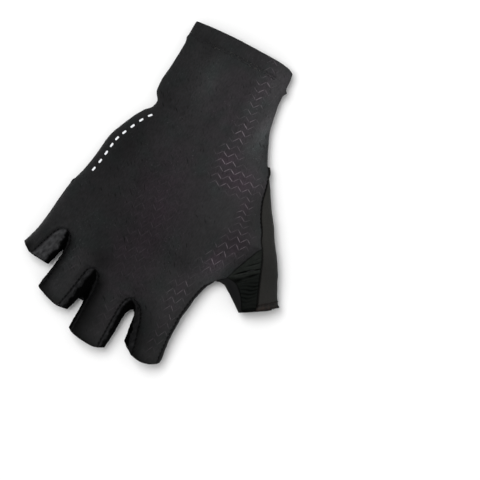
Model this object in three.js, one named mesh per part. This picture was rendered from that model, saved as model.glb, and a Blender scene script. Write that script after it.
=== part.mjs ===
// A short-finger sport glove for the right hand, lying palm down.
// Millimetres. The fingers point to -Y, the thumb to +X and the back of the hand to +Z.
// Each panel is a thin surface worked out from seam lines and heights, then given its cloth wall inwards.
import * as THREE from "three";

// Driving sizes
const CENTRE_X = 18;
const CENTRE_Y = -0.2;
const WALL = 1.2;
const SIDE_WALL = 1;
const HEM_WALL = 1.6;
const SEAM_GAP = 0.4;
const RIM_BEVEL = 0.5;
const SIDE_HEIGHT = 5.5;
const CORNER_RADIUS = 5;
const PAD_THICKNESS = 2.6;
const PAD_CHAMFER = 1.6;
const LAYER_GAP = 0.3;
const TONGUE_THICKNESS = 1;
const HEM_DEPTH = 8.5;
const PALM_HEM_SETBACK = 0.8;
const PALM_CUFF_Y = 86;
const TAB_END_Y = 91;
const CUFF_TURN = 8;
// Rows that the fingers' and the cuff's own rows are measured from, and lines beyond the glove's two ends
const CUFF_SECTION_Y = 88;
const FIRST_LEVEL_Y = 72;
const FINGER_MIDDLE_Y = -75;
const PAST_CUFF_Y = 100;
const PAST_HEMS_Y = -98;
// Nearest distance of two separate points, how near the outline counts as on it, the sharpest corner that
// keeps its full set-back, and the most of the nearest edge that a set-back may take
const WELD_DISTANCE = 0.01;
const ON_OUTLINE = 0.03;
const SHARPEST_CORNER = 0.4;
const MOST_SET_BACK = 0.6;

// Outline seen from above, from the cuff (+Y) to the finger hems (-Y)
const PINKY_SIDE = [
  { y: 94, x: -26 }, { y: 86, x: -26.5 }, { y: 80, x: -26.1 }, { y: 65, x: -27 }, { y: 55, x: -28 },
  { y: 48, x: -27.4 }, { y: 43, x: -24.6 }, { y: 39, x: -25.6 }, { y: 35.5, x: -28.8 }, { y: 30, x: -32 },
  { y: 24, x: -35 }, { y: 14, x: -39 }, { y: 10, x: -39.7 }, { y: 0, x: -41 }, { y: -10, x: -43 },
  { y: -20, x: -46 }, { y: -30, x: -47.5 }, { y: -40, x: -48.6 }, { y: -50, x: -50.2 },
  { y: -57, x: -52.2 }, { y: -62, x: -54.2 },
];
// Right edge of the back panel: the thumb-side outline, then the thumb seam, the gusset and the index seam
const BACK_EDGE = [
  { y: 94, x: 35, z: 5.5 }, { y: 85, x: 35.9, z: 5.5 }, { y: 75, x: 36.3, z: 5.5 },
  { y: 65, x: 37.5, z: 5.5 }, { y: 55, x: 40, z: 5.5 }, { y: 50, x: 42, z: 5.5 },
  { y: 45, x: 44.5, z: 5.5 }, { y: 40, x: 47, z: 5.5 }, { y: 36, x: 49.6, z: 7 },
  { y: 29, x: 52, z: 9.5 }, { y: 22, x: 53.4, z: 11 }, { y: 13, x: 57, z: 12.6 },
  { y: 5, x: 61.8, z: 13.6 }, { y: 1, x: 63.4, z: 14 }, { y: -3, x: 62.5, z: 13.8 },
  { y: -12, x: 59.6, z: 12.6 }, { y: -19, x: 57.6, z: 11.2 }, { y: -25.6, x: 56, z: 9.6 },
  { y: -28, x: 53.8, z: 8.6 }, { y: -30, x: 51.7, z: 7.6 }, { y: -32.6, x: 49.4, z: 7.4 },
  { y: -36, x: 47.1, z: 8 }, { y: -40, x: 45.8, z: 8.6 }, { y: -46, x: 44.5, z: 9.2 },
  { y: -52, x: 43.5, z: 9.4 }, { y: -60, x: 42.8, z: 9.4 }, { y: -70, x: 42.7, z: 9.2 },
  { y: -78, x: 43.1, z: 9 }, { y: -87, x: 43.8, z: 8.8 },
];
const THUMB_SIDE_END = 40;
// The index finger's own outline on the thumb side, past the web
const INDEX_SIDE = [
  { y: -30.6, x: 51.9 }, { y: -33, x: 49.9 }, { y: -36, x: 48.2 }, { y: -40, x: 47 }, { y: -46, x: 45.8 },
  { y: -52, x: 44.9 }, { y: -60, x: 44.1 }, { y: -70, x: 44 }, { y: -78, x: 44.6 }, { y: -83, x: 45.4 },
  { y: -87, x: 45 },
];
// Thumb: its outline away from the hand, and the seam of its outer panel under the hand
const THUMB_OUTER = [
  { y: 40, x: 47 }, { y: 36, x: 49.8 }, { y: 28, x: 55 }, { y: 20, x: 60 }, { y: 13, x: 65 },
  { y: 5, x: 70 }, { y: -2, x: 75 }, { y: -10, x: 80 }, { y: -19, x: 84.5 }, { y: -24, x: 87.2 },
  { y: -28.3, x: 89.6 },
];
const THUMB_TOP_SEAM = [
  { y: 40, x: 47, z: 5.5 }, { y: 36, x: 49.6, z: 7 }, { y: 29, x: 52, z: 9.5 }, { y: 22, x: 53.4, z: 11 },
  { y: 13, x: 57, z: 12.6 }, { y: 5, x: 61.8, z: 13.6 }, { y: 1, x: 63.4, z: 14 },
  { y: -2, x: 65.6, z: 14.2 }, { y: -8, x: 68.8, z: 14.2 }, { y: -14, x: 71.2, z: 14 },
  { y: -21, x: 73.9, z: 13.6 }, { y: -27, x: 76.3, z: 13 }, { y: -34.6, x: 79.5, z: 12.2 },
];
// Thumb web and inner thumb: f runs from the web to the thumb hem
const THUMB_INNER = [
  { f: 0, sideX: 52.2, sideY: -30.4, topX: 52, topY: -29.7, topZ: 7.7 },
  { f: 0.1, sideX: 53.8, sideY: -29.8, topX: 54, topY: -27.8, topZ: 8.7 },
  { f: 0.22, sideX: 56.4, sideY: -29.9, topX: 56.2, topY: -25.7, topZ: 9.7 },
  { f: 0.4, sideX: 60.2, sideY: -32.3, topX: 60.4, topY: -27, topZ: 10.6 },
  { f: 0.7, sideX: 65.6, sideY: -36.2, topX: 67, topY: -31.4, topZ: 11.6 },
  { f: 1, sideX: 71, sideY: -40, topX: 72.2, topY: -38.4, topZ: 11 },
];
// Gusset between the back panel and the thumb's outer panel: its edge on the hand side
const GUSSET_EDGE = [
  { f: 0, x: 63.4, y: 0.6, z: 14 }, { f: 0.22, x: 60.8, y: -8, z: 13.2 },
  { f: 0.4, x: 57.8, y: -18.4, z: 11.3 }, { f: 0.5, x: 56.3, y: -25.4, z: 9.8 },
  { f: 0.62, x: 60.4, y: -27, z: 10.6 }, { f: 0.82, x: 67, y: -31.4, z: 11.6 },
  { f: 1, x: 72.2, y: -38.4, z: 11 },
];
const GUSSET_PLEATS = 9;
const PLEAT_HEIGHT = 0.9;
const PLEAT_GROWTH = { none: 0.1, full: 0.35 };
const GUSSET_SWELL = 1.2;

// Underside seams: the wrist strip, the thumb's outer seam, the thumb base and the index side seam
const PALM_LEFT = [
  { y: 92, x: -4.5 }, { y: 80, x: -3 }, { y: 70, x: -3 }, { y: 60, x: -1 }, { y: 55, x: 0 },
  { y: 48, x: -1 }, { y: 41, x: -6 }, { y: 33, x: -14 }, { y: 24, x: -23.5 }, { y: 16, x: -32.5 },
  { y: 10, x: -39.7 },
];
const PALM_LEFT_END = 10;
const THUMB_UNDER_SEAM = [
  { y: 92, x: 15.5 }, { y: 78, x: 16 }, { y: 66, x: 17 }, { y: 54, x: 20 }, { y: 47, x: 22 },
  { y: 40, x: 24.6 }, { y: 29, x: 31 }, { y: 20, x: 38 }, { y: 9.5, x: 48 }, { y: 0, x: 57.6 },
  { y: -8, x: 65 }, { y: -15.5, x: 73 }, { y: -23, x: 79.6 }, { y: -31, x: 85.4 },
];
const THUMB_BASE = [
  { y: 0, x: 57.6 }, { y: -12, x: 58 }, { y: -24, x: 55.6 }, { y: -30.6, x: 51.4 }, { y: -33, x: 48.4 },
  { y: -37, x: 45.2 }, { y: -42, x: 42.6 }, { y: -50, x: 39.8 }, { y: -62, x: 38 }, { y: -78, x: 36.6 },
  { y: -87, x: 36 },
];
const INDEX_PANEL_START = { back: -31.2, side: -31.8, palm: -32 };
const WEB_SLACK = 0.8;

// Finger gaps. back, side and palm are the gap's edges at the top seam, at mid height and at the palm seam.
// The first row of each is the point between the fingers.
const GAPS = [
  {
    name: "pinky_ring",
    wrist: -11, knuckle: -24,
    back: [
      { y: -43.5, from: -35, to: -35 }, { y: -44.6, from: -38, to: -32.8 },
      { y: -47, from: -40, to: -31.2 }, { y: -51, from: -41.8, to: -30.3 },
      { y: -56, from: -43.6, to: -30.2 }, { y: -64, from: -46.4, to: -31 },
      { y: -72, from: -49, to: -31.9 }, { y: -80, from: -51, to: -33.4 },
    ],
    side: [
      { y: -55, from: -32, to: -32 }, { y: -56.4, from: -32.9, to: -31.6 },
      { y: -60, from: -33.9, to: -31.9 }, { y: -66, from: -35.6, to: -32.6 },
      { y: -72, from: -37, to: -33.5 }, { y: -80, from: -39, to: -35.1 },
    ],
    palm: [
      { y: -53.6, from: -32, to: -32 }, { y: -55, from: -34, to: -30.4 },
      { y: -60, from: -35.3, to: -30.6 }, { y: -66, from: -37, to: -31.3 },
      { y: -72, from: -38, to: -32 }, { y: -80, from: -40, to: -33.4 },
    ],
  },
  {
    name: "ring_middle",
    wrist: 4, knuckle: -3,
    back: [
      { y: -55.5, from: -11.5, to: -11.5 }, { y: -56.6, from: -13.6, to: -8.8 },
      { y: -58.6, from: -14.8, to: -7.3 }, { y: -62, from: -15.6, to: -6.3 },
      { y: -70, from: -17, to: -5.8 }, { y: -84, from: -19.8, to: -5.9 },
      { y: -94, from: -21.8, to: -6.1 },
    ],
    side: [
      { y: -73, from: -9.9, to: -9.9 }, { y: -74.2, from: -11.3, to: -8.7 },
      { y: -79, from: -13, to: -8.6 }, { y: -84, from: -14.6, to: -8.8 }, { y: -94, from: -17, to: -9 },
    ],
    palm: [
      { y: -71.6, from: -9.9, to: -9.9 }, { y: -73, from: -12.4, to: -7.6 },
      { y: -79, from: -14.4, to: -7.3 }, { y: -84, from: -16, to: -7.5 },
      { y: -94, from: -18.4, to: -7.7 },
    ],
  },
  {
    name: "middle_index",
    wrist: 20, knuckle: 24,
    back: [
      { y: -60, from: 15.5, to: 15.5 }, { y: -61.1, from: 13.2, to: 18.6 },
      { y: -63.5, from: 11.8, to: 21.6 }, { y: -67, from: 11, to: 23.6 },
      { y: -72, from: 10.6, to: 25.4 }, { y: -80, from: 10.5, to: 27.5 }, { y: -95, from: 10.3, to: 31 },
    ],
    side: [
      { y: -66, from: 18.3, to: 18.3 }, { y: -67.2, from: 16.8, to: 19.7 },
      { y: -70, from: 15.8, to: 20.4 }, { y: -76, from: 15, to: 21.1 }, { y: -85, from: 14.5, to: 22 },
      { y: -95, from: 13.9, to: 23 },
    ],
    palm: [
      { y: -64.6, from: 18.3, to: 18.3 }, { y: -66, from: 15.6, to: 21 },
      { y: -70, from: 14.5, to: 21.7 }, { y: -76, from: 13.7, to: 22.4 },
      { y: -85, from: 13.2, to: 23.3 }, { y: -95, from: 12.6, to: 24.3 },
    ],
  },
];
const FINGERS = [
  {
    name: "pinky", crown: 10.6, roundLeft: 0.5, roundRight: 1,
    hem: [
      { x: -54.5, y: -59.6 }, { x: -51, y: -62.6 }, { x: -47, y: -64.6 }, { x: -42, y: -65.9 },
      { x: -35, y: -66.1 },
    ],
  },
  {
    name: "ring", crown: 12.4, roundLeft: 0.9, roundRight: 0.9,
    hem: [
      { x: -35.5, y: -79 }, { x: -32, y: -80.2 }, { x: -27, y: -82 }, { x: -20, y: -83.6 },
      { x: -14, y: -83.4 },
    ],
  },
  {
    name: "middle", crown: 13, roundLeft: 0.9, roundRight: 0.9,
    hem: [
      { x: -9.2, y: -91.8 }, { x: -6, y: -93 }, { x: 0, y: -94 }, { x: 7, y: -94.4 },
      { x: 14.5, y: -92.4 },
    ],
  },
  {
    name: "index", crown: 12.8, roundLeft: 0.9, roundRight: 0.8,
    hem: [
      { x: 21.8, y: -84 }, { x: 25, y: -87.3 }, { x: 30, y: -89 }, { x: 35, y: -89.5 },
      { x: 40, y: -88.6 }, { x: 46, y: -85.4 },
    ],
  },
];
// Height of the back along its middle
const HAND_CROWN = [
  { y: 94, z: 11 }, { y: 80, z: 11.4 }, { y: 60, z: 12.6 }, { y: 43, z: 14.4 }, { y: 28, z: 16.8 },
  { y: 12, z: 19 }, { y: -4, z: 20 }, { y: -20, z: 20 }, { y: -36, z: 18.6 }, { y: -60, z: 16 },
];
// Form across the hand and the fingers: how flat the swell is, how round its sides, and where they change
const SWELL_POWER = 2.4;
const HAND_ROUND = { pinkySide: 0.5, wrist: 0.5, thumbSide: 0.9, change: { none: 40, full: 26 } };
const KNUCKLE_CROWN = 17;
const KNUCKLE_RISE = { none: -84, full: -36 };
const FINGER_FORM = { none: -8, full: -46 };
const SEAM_HEIGHT = { knuckle: 15.6, crotch: 11.6, hem: 10.6, rise: 22, fall: 14 };
// Where the underside is lifted clear of the pads and of the tongues
const PAD_ZONE = {
  hems: { none: -50, full: -34 },
  cuff: { none: 44, full: 26 },
  thumb: { none: 78, full: 60 },
};
const TONGUE_ZONE = {
  pinky: { none: -34.5, full: -29.5 },
  index: { none: 20, full: 14.5 },
  palm: { none: -40, full: -54 },
};
// The palm's strips: their even shares, and the row where they start to turn to the finger gaps
const PALM_SHARES = [0.22, 0.47, 0.74];
const PALM_SHARE_END = 10;
const CUFF_EDGE = [
  { x: -27, y: 92.4 }, { x: -13, y: 93.5 }, { x: 0, y: 94 }, { x: 25, y: 93.8 }, { x: 32, y: 93 },
  { x: 36, y: 91.5 },
];
// Soft folds of the back and dents of the underside: a middle point, a direction, half sizes and a depth
const BACK_FOLDS = [
  { x: 16, y: 60, turn: 88, long: 26, wide: 3.2, deep: 0.5 },
  { x: -8, y: 62, turn: 94, long: 20, wide: 4, deep: -0.4 },
  { x: -19, y: 45, turn: 20, long: 9, wide: 2.6, deep: 0.9 },
  { x: -21, y: 38, turn: -28, long: 9, wide: 3, deep: -0.5 },
  { x: 40, y: -14, turn: 104, long: 12, wide: 2.6, deep: 0.5 },
  { x: 16, y: 10, turn: 100, long: 16, wide: 3, deep: 0.4 },
  { x: 42, y: -50, turn: 0, long: 4, wide: 1.6, deep: 0.5 },
];
const FOLD_FADE = 0.25;

// Pads, drawn as ovals of two half sizes that taper towards one end
const PAD_SIDES = 24;
const PADS = [
  { name: "hypothenar_pad", x: -13, y: 2, wide: 14, long: 21, turn: 4, taper: 0.05 },
  { name: "thenar_pad", x: 33.4, y: -6, wide: 16, long: 24.5, turn: 29, taper: -0.16 },
];
// Tongues under the ring and middle fingers
const TONGUES = [
  { name: "ring_pull_tab", baseX: -21.6, baseY: -58, tipX: -24.4, tipY: -81.6, half: 8.4 },
  { name: "middle_pull_tab", baseX: 3.4, baseY: -59, tipX: 2.7, tipY: -92.2, half: 9.4 },
];
const BRIDGE = [
  { x: -12.4, y: -58.6 }, { x: -6.6, y: -59 }, { x: -7, y: -75 }, { x: -11.6, y: -74.4 },
  { x: -21.4, y: -65 },
];
const BRIDGE_CLEARANCE = { beside: 1, along: 0.6 };
// The second layer of the pull tab at the wrist, seen past the first one
const TAB_LAYER = [{ x: -2.4, y: 79 }, { x: 18.6, y: 79 }, { x: 18.6, y: 89.6 }, { x: -2.4, y: 90.4 }];

const COLOURS = {
  back: { color: 0x1b1b1d, roughness: 0.82 },
  palm: { color: 0x222325, roughness: 0.78 },
  thumb: { color: 0x2b2927, roughness: 0.7 },
  side: { color: 0x121313, roughness: 0.85 },
  pad: { color: 0x28292b, roughness: 0.72 },
};

// Numbers and tables
const mix = (a, b, t) => a + (b - a) * t;
const clamp = (v) => Math.min(1, Math.max(0, v));
const ease = (from, to, v) => {
  const t = clamp((v - from) / (to - from));
  return t * t * (3 - 2 * t);
};
const fade = ({ none, full }, v) => ease(none, full, v);
const steps = (n) => Array.from({ length: n + 1 }, (_, i) => i / n);
const radians = (degrees) => (degrees * Math.PI) / 180;

// A smooth line through a table's rows: a monotone cubic, which never overshoots a row
function track(rows, value, by = "y") {
  const sorted = [...rows].sort((a, b) => a[by] - b[by]);
  const at = sorted.map((r) => r[by]);
  const v = sorted.map((r) => r[value]);
  const rise = at.slice(1).map((a, i) => (v[i + 1] - v[i]) / (a - at[i]));
  const slope = v.map((_, i) => {
    if (i === 0) return rise[0];
    if (i === v.length - 1) return rise[i - 1];
    const [a, b] = [rise[i - 1], rise[i]];
    return a * b <= 0 ? 0 : (2 * a * b) / (a + b);
  });
  return (p) => {
    const q = Math.min(at[at.length - 1], Math.max(at[0], p));
    let i = 0;
    while (i < at.length - 2 && q > at[i + 1]) i += 1;
    const w = at[i + 1] - at[i];
    const t = (q - at[i]) / w;
    const [t2, t3] = [t * t, t * t * t];
    return (2 * t3 - 3 * t2 + 1) * v[i] + (t3 - 2 * t2 + t) * w * slope[i]
      + (3 * t2 - 2 * t3) * v[i + 1] + (t3 - t2) * w * slope[i + 1];
  };
}

const pinkySide = track(PINKY_SIDE, "x");
const backEdgeX = track(BACK_EDGE, "x");
const backEdgeZ = track(BACK_EDGE, "z");
const handCrown = track(HAND_CROWN, "z");
const cuffEdge = track(CUFF_EDGE, "y", "x");
const palmLeftSeam = track(PALM_LEFT, "x");
const thumbUnderX = track(THUMB_UNDER_SEAM, "x");
const thumbBaseX = track(THUMB_BASE, "x");
const palmLeft = (y) => (y > PALM_LEFT_END ? palmLeftSeam(y) : pinkySide(y));
const palmRight = (y) => (y >= 0 ? thumbUnderX(y) : thumbBaseX(y));
const gapLines = GAPS.map((gap) => {
  const line = { crotchX: gap.back[0].from };
  for (const level of ["back", "side", "palm"]) {
    line[level] = {
      top: gap[level][0].y,
      x: gap[level][0].from,
      from: track(gap[level], "from"),
      to: track(gap[level], "to"),
    };
  }
  line.above = track([
    { y: 94, x: gap.wrist }, { y: 0, x: gap.knuckle }, { y: gap.back[0].y, x: gap.back[0].from },
  ], "x");
  return line;
});
const hems = FINGERS.map((finger) => track(finger.hem, "y", "x"));
const indexSideX = track(INDEX_SIDE, "x");
const thumbOuterX = track(THUMB_OUTER, "x");
const thumbTopX = track(THUMB_TOP_SEAM, "x");
const thumbTopZ = track(THUMB_TOP_SEAM, "z");
const gussetEdge = ["x", "y", "z"].map((key) => track(GUSSET_EDGE, key, "f"));
const thumbHem = { top: THUMB_TOP_SEAM.at(-1), side: THUMB_OUTER.at(-1), under: THUMB_UNDER_SEAM.at(-1) };

// The row where a finger's hem crosses a line that runs along the finger, closed in on by repeated steps
function meet(hem, line) {
  let y = FINGER_MIDDLE_Y;
  for (let i = 0; i < 7; i += 1) y = hem(line(y));
  return y;
}

// Outline seen from above, as open lines that the underside turns up to
function outlines() {
  const sample = (line, from, to, n) => steps(n).map((t) => {
    const y = mix(from, to, t);
    return [line(y), y];
  });
  const carryOn = (line) => {
    const [[ax, ay], [bx, by]] = line.slice(-2);
    return [...line, [2 * bx - ax, 2 * by - ay]];
  };
  const webLine = THUMB_INNER.map((r) => [r.sideX, r.sideY]);
  const lines = [
    sample(pinkySide, PAST_CUFF_Y, PAST_HEMS_Y, 60),
    sample(backEdgeX, PAST_CUFF_Y, THUMB_SIDE_END, 14),
    carryOn(sample(thumbOuterX, THUMB_SIDE_END, thumbHem.side.y, 20)),
    carryOn(carryOn(webLine).reverse()),
    carryOn(sample(indexSideX, INDEX_SIDE[0].y, INDEX_SIDE.at(-1).y, 20)),
  ];
  for (const line of gapLines) {
    const ys = steps(12).map((t) => mix(line.side.top, PAST_HEMS_Y, t * t));
    lines.push(ys.map((y) => [line.side.from(y), y]));
    lines.push(ys.map((y) => [line.side.to(y), y]));
  }
  return lines;
}
const OUTLINES = outlines();

function distanceToOutline(x, y) {
  let best = Infinity;
  for (const line of OUTLINES) {
    for (let i = 1; i < line.length; i += 1) {
      const [ax, ay] = line[i - 1];
      const [bx, by] = line[i];
      const [dx, dy] = [bx - ax, by - ay];
      const t = clamp(((x - ax) * dx + (y - ay) * dy) / (dx * dx + dy * dy || 1));
      best = Math.min(best, Math.hypot(x - ax - t * dx, y - ay - t * dy));
    }
  }
  return best;
}

// Height of the underside: lifted over the pads and tongues, and turned up in a round corner at the outline
function underLift(x, y) {
  const pads = fade(PAD_ZONE.hems, y) * fade(PAD_ZONE.cuff, y) * fade(PAD_ZONE.thumb, x);
  const tongues = fade(TONGUE_ZONE.pinky, x) * fade(TONGUE_ZONE.index, x) * fade(TONGUE_ZONE.palm, y);
  return Math.max((PAD_THICKNESS + LAYER_GAP) * pads, (TONGUE_THICKNESS + LAYER_GAP) * tongues);
}
function underHeight(x, y) {
  const lift = underLift(x, y);
  const turn = 1 - clamp((distanceToOutline(x, y) - ON_OUTLINE) / CORNER_RADIUS);
  return lift + (SIDE_HEIGHT - lift) * (1 - Math.sqrt(1 - turn * turn));
}

// Height across a strip of cloth: straight from one edge to the other, swelling to its crown between them
function swell(g, left, right, crown, roundLeft, roundRight) {
  const e = Math.abs(2 * g - 1);
  const round = g < 0.5 ? roundLeft : roundRight;
  return mix(left, right, g) + (crown - (left + right) / 2) * (1 - e ** SWELL_POWER) ** round;
}

function foldDepth(x, y) {
  let depth = 0;
  for (const fold of BACK_FOLDS) {
    const a = radians(fold.turn);
    const [dx, dy] = [x - fold.x, y - fold.y];
    const along = (dx * Math.cos(a) + dy * Math.sin(a)) / fold.long;
    const across = (dy * Math.cos(a) - dx * Math.sin(a)) / fold.wide;
    depth += fold.deep * Math.exp(-along * along - across * across);
  }
  return depth;
}

// The back of the hand, in four strips that become the fingers. s runs across a strip, y along the hand.
const stripLeft = (k, y) => {
  if (k === 0) return pinkySide(y);
  const line = gapLines[k - 1];
  return y >= line.back.top ? line.above(y) : line.back.to(y);
};
const stripRight = (k, y) => {
  if (k === 3) return backEdgeX(y);
  const line = gapLines[k];
  return y >= line.back.top ? line.above(y) : line.back.from(y);
};
const across = (k, s) => {
  if (k === 0) return 1 - Math.cos((s * Math.PI) / 2);
  if (k === 3) return Math.sin((s * Math.PI) / 2);
  return s;
};
function seamHeight(gap, y) {
  const top = gapLines[gap].back.top;
  if (y > top) return mix(SEAM_HEIGHT.crotch, SEAM_HEIGHT.knuckle, ease(top, top + SEAM_HEIGHT.rise, y));
  return mix(SEAM_HEIGHT.crotch, SEAM_HEIGHT.hem, ease(top, top - SEAM_HEIGHT.fall, y));
}
function backPoint(k, s, y) {
  const g = across(k, s);
  const x = mix(stripLeft(k, y), stripRight(k, y), g);
  const [left, right] = [pinkySide(y), backEdgeX(y)];
  const u = clamp((x - left) / (right - left));
  const thumbRound = mix(HAND_ROUND.wrist, HAND_ROUND.thumbSide, fade(HAND_ROUND.change, y));
  const hand = swell(u, SIDE_HEIGHT, backEdgeZ(y), handCrown(y), HAND_ROUND.pinkySide, thumbRound);
  const finger = FINGERS[k];
  const crown = mix(finger.crown, KNUCKLE_CROWN, fade(KNUCKLE_RISE, y));
  const strip = swell(
    g,
    k === 0 ? SIDE_HEIGHT : seamHeight(k - 1, y),
    k === 3 ? backEdgeZ(y) : seamHeight(k, y),
    crown,
    finger.roundLeft,
    finger.roundRight,
  );
  const inside = clamp(u / FOLD_FADE) * clamp((1 - u) / FOLD_FADE);
  return [x, y, mix(hand, strip, fade(FINGER_FORM, y)) - foldDepth(x, y) * inside];
}

// Underside points, on the palm's four strips
const palmLine = (gap, y) => {
  const line = gapLines[gap].palm;
  const even = mix(palmLeft(y), palmRight(y), PALM_SHARES[gap]);
  return mix(even, line.x, ease(PALM_SHARE_END, line.top, y));
};
const palmStripLeft = (k, y) => {
  if (k === 0) return palmLeft(y);
  const line = gapLines[k - 1].palm;
  return y >= line.top ? palmLine(k - 1, y) : line.to(y);
};
const palmStripRight = (k, y) => {
  if (k === 3) return palmRight(y);
  const line = gapLines[k].palm;
  return y >= line.top ? palmLine(k, y) : line.from(y);
};
const palmAcross = (k, s, y) => {
  if (k > 0) return mix(s, (1 - Math.cos(s * Math.PI)) / 2, 0.5);
  return mix(1 - Math.cos((s * Math.PI) / 2), s, ease(PALM_LEFT_END - 6, PALM_LEFT_END + 6, y));
};
function palmPoint(k, s, y) {
  const x = mix(palmStripLeft(k, y), palmStripRight(k, y), palmAcross(k, s, y));
  return [x, y, underHeight(x, y)];
}

// The cuff's open edge: level on the back, set back under the palm at a distance away from the side line
const cuffUnderY = (edge, away) => {
  const sideY = cuffEdge(edge(CUFF_SECTION_Y));
  return mix(PALM_CUFF_Y, sideY, clamp(1 - away / CUFF_TURN) ** 2);
};
const backCuffY = (k, s) => {
  const [left, right] = [stripLeft(k, CUFF_SECTION_Y), stripRight(k, CUFF_SECTION_Y)];
  return cuffEdge(mix(left, right, across(k, s)));
};

// Thin surfaces
// A patch is a grid of points; flip turns its outer face round
const patch = (rows, columns, point, flip = false) => ({
  grid: rows.map((r) => columns.map((c) => point(r, c))),
  flip,
});

function weld(patches) {
  const points = [];
  const faces = [];
  const find = (p) => {
    const near = points.findIndex((q) => Math.hypot(q[0] - p[0], q[1] - p[1], q[2] - p[2]) < WELD_DISTANCE);
    if (near >= 0) return near;
    points.push(p);
    return points.length - 1;
  };
  for (const { grid, flip } of patches) {
    const ids = grid.map((row) => row.map(find));
    for (let i = 1; i < ids.length; i += 1) {
      for (let j = 1; j < ids[i].length; j += 1) {
        const [a, b, c, d] = [ids[i - 1][j - 1], ids[i - 1][j], ids[i][j], ids[i][j - 1]];
        for (const [p, q, r] of [[a, b, c], [a, c, d]]) {
          if (p !== q && q !== r && r !== p) faces.push(flip ? [p, r, q] : [p, q, r]);
        }
      }
    }
  }
  return { points: points.map((p) => new THREE.Vector3(...p)), faces };
}

// A wall of cloth: the surface, a copy moved inwards, and a rim. Both edges stand back from the seam line,
// the inner one a little more, so that neighbouring panels keep their gap.
function clothWall(patches, wall = WALL) {
  const { points, faces } = weld(patches);
  const normals = points.map(() => new THREE.Vector3());
  const used = new Map();
  const [e1, e2] = [new THREE.Vector3(), new THREE.Vector3()];
  for (const face of faces) {
    const [a, b, c] = face.map((i) => points[i]);
    const normal = e1.subVectors(b, a).clone().cross(e2.subVectors(c, a));
    face.forEach((i, n) => {
      normals[i].add(normal);
      const edge = i + "," + face[(n + 1) % 3];
      used.set(edge, (used.get(edge) || 0) + 1);
    });
  }
  normals.forEach((n) => n.normalize());
  const edges = [...used.keys()].map((key) => key.split(",").map(Number));
  const rim = edges.filter(([a, b]) => !used.has(b + "," + a));
  const inward = points.map(() => []);
  const room = points.map(() => Infinity);
  for (const [a, b] of rim) {
    for (const i of [a, b]) {
      inward[i].push(normals[i].clone().cross(e1.subVectors(points[b], points[a])).normalize());
    }
  }
  for (const [a, b] of edges) {
    const length = points[a].distanceTo(points[b]);
    room[a] = Math.min(room[a], length);
    room[b] = Math.min(room[b], length);
  }
  const setBack = inward.map((list) => {
    if (list.length < 2) return new THREE.Vector3();
    return list[0].clone().add(list[1]).divideScalar(Math.max(SHARPEST_CORNER, 1 + list[0].dot(list[1])));
  });
  const outer = points.map((p, i) => p.clone().addScaledVector(setBack[i], SEAM_GAP / 2));
  const inner = points.map((p, i) => {
    const innerSetBack = Math.min(SEAM_GAP / 2 + RIM_BEVEL, room[i] * MOST_SET_BACK);
    return p.clone().addScaledVector(normals[i], -wall).addScaledVector(setBack[i], innerSetBack);
  });
  const n = points.length;
  const index = faces.flatMap(([a, b, c]) => [a, b, c, n + a, n + c, n + b]);
  for (const [a, b] of rim) index.push(b, a, n + a, b, n + a, n + b);
  const geometry = new THREE.BufferGeometry().setFromPoints([...outer, ...inner]);
  geometry.setIndex(index);
  geometry.computeVertexNormals();
  return geometry;
}

// A surface across three lines: from the top seam out to the side, then down and under to the palm seam.
// slack makes the upper and the lower stretch straighter, as cloth hangs between two fingers.
function threeLines(top, side, bottom, v, slack = { above: 0, below: 0 }) {
  const upper = v < 0.5;
  const a = (upper ? v : 1 - v) * Math.PI;
  const end = upper ? top : bottom;
  const straight = upper ? slack.above : slack.below;
  const level = mix(Math.sin(a), (2 * a) / Math.PI, straight);
  const fall = mix(1 - Math.cos(a), (2 * a) / Math.PI, straight);
  return [mix(end[0], side[0], level), mix(end[1], side[1], level), mix(end[2], side[2], fall)];
}

// Rows shared by the strips, then each finger's own rows down to its hem
const BACK_ROWS = [
  72, 64, 58, 53, 48, 43, 40, 36, 31, 25, 19, 14, 10, 5, 1, -6, -12, -19, -25.6, -28, -30, -33, -37, -40.5,
  -43.5, -44.6, -47, -51, -55.5, -56.6, -58.3, -60,
];
const BACK_LAST = [-43.5, -55.5, -60, -60];
const PALM_ROWS = [
  78, 72, 66, 60, 55, 50, 45, 40, 35, 29, 23, 16, 10, 5, 0, -6, -12, -18, -24, -30.6, -33, -37, -42, -48,
  -53.6, -55, -58, -61.5, -64.6, -66, -69, -71.6,
];
const PALM_LAST = [-53.6, -71.6, -71.6, -64.6];
// A strip narrower than this is divided evenly
const NARROW_STRIP = 14;
const OWN_ROWS = [0.05, 0.15, 0.3, 0.5, 0.75, 1];
const STRIP_COLUMNS = [6, 5, 5, 6];
// Shares along the strips between the fingers, beside the index finger and under the thumb
const SIDE_STATIONS = [0, 0.2, 0.4, 0.6, 0.78, 0.9, 0.97];
const INDEX_STATIONS = [0, 0.04, 0.1, 0.18, 0.3, 0.45, 0.6, 0.75, 0.9, 1];
const THUMB_STATIONS = [0, 0.1, 0.22, 0.34, 0.48, 0.65, 0.82, 1];
const THUMB_UNDER_SHARE = 0.7;

function backPanel() {
  const patches = [];
  FINGERS.forEach((finger, k) => {
    const columns = steps(STRIP_COLUMNS[k]);
    const last = BACK_LAST[k];
    const top = [0, 0.5].map((t) => (s) => mix(backCuffY(k, s) - HEM_DEPTH, FIRST_LEVEL_Y, t));
    const shared = BACK_ROWS.filter((y) => y >= last).map((y) => () => y);
    const own = OWN_ROWS.map((t) => (s) => {
      const g = across(k, s);
      return mix(last, meet(hems[k], (y) => mix(stripLeft(k, y), stripRight(k, y), g)), t);
    });
    patches.push(patch([...top, ...shared, ...own], columns, (row, s) => backPoint(k, s, row(s)), true));
  });
  patches.push(...cuffUndersides(false));
  return clothWall(patches);
}

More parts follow.
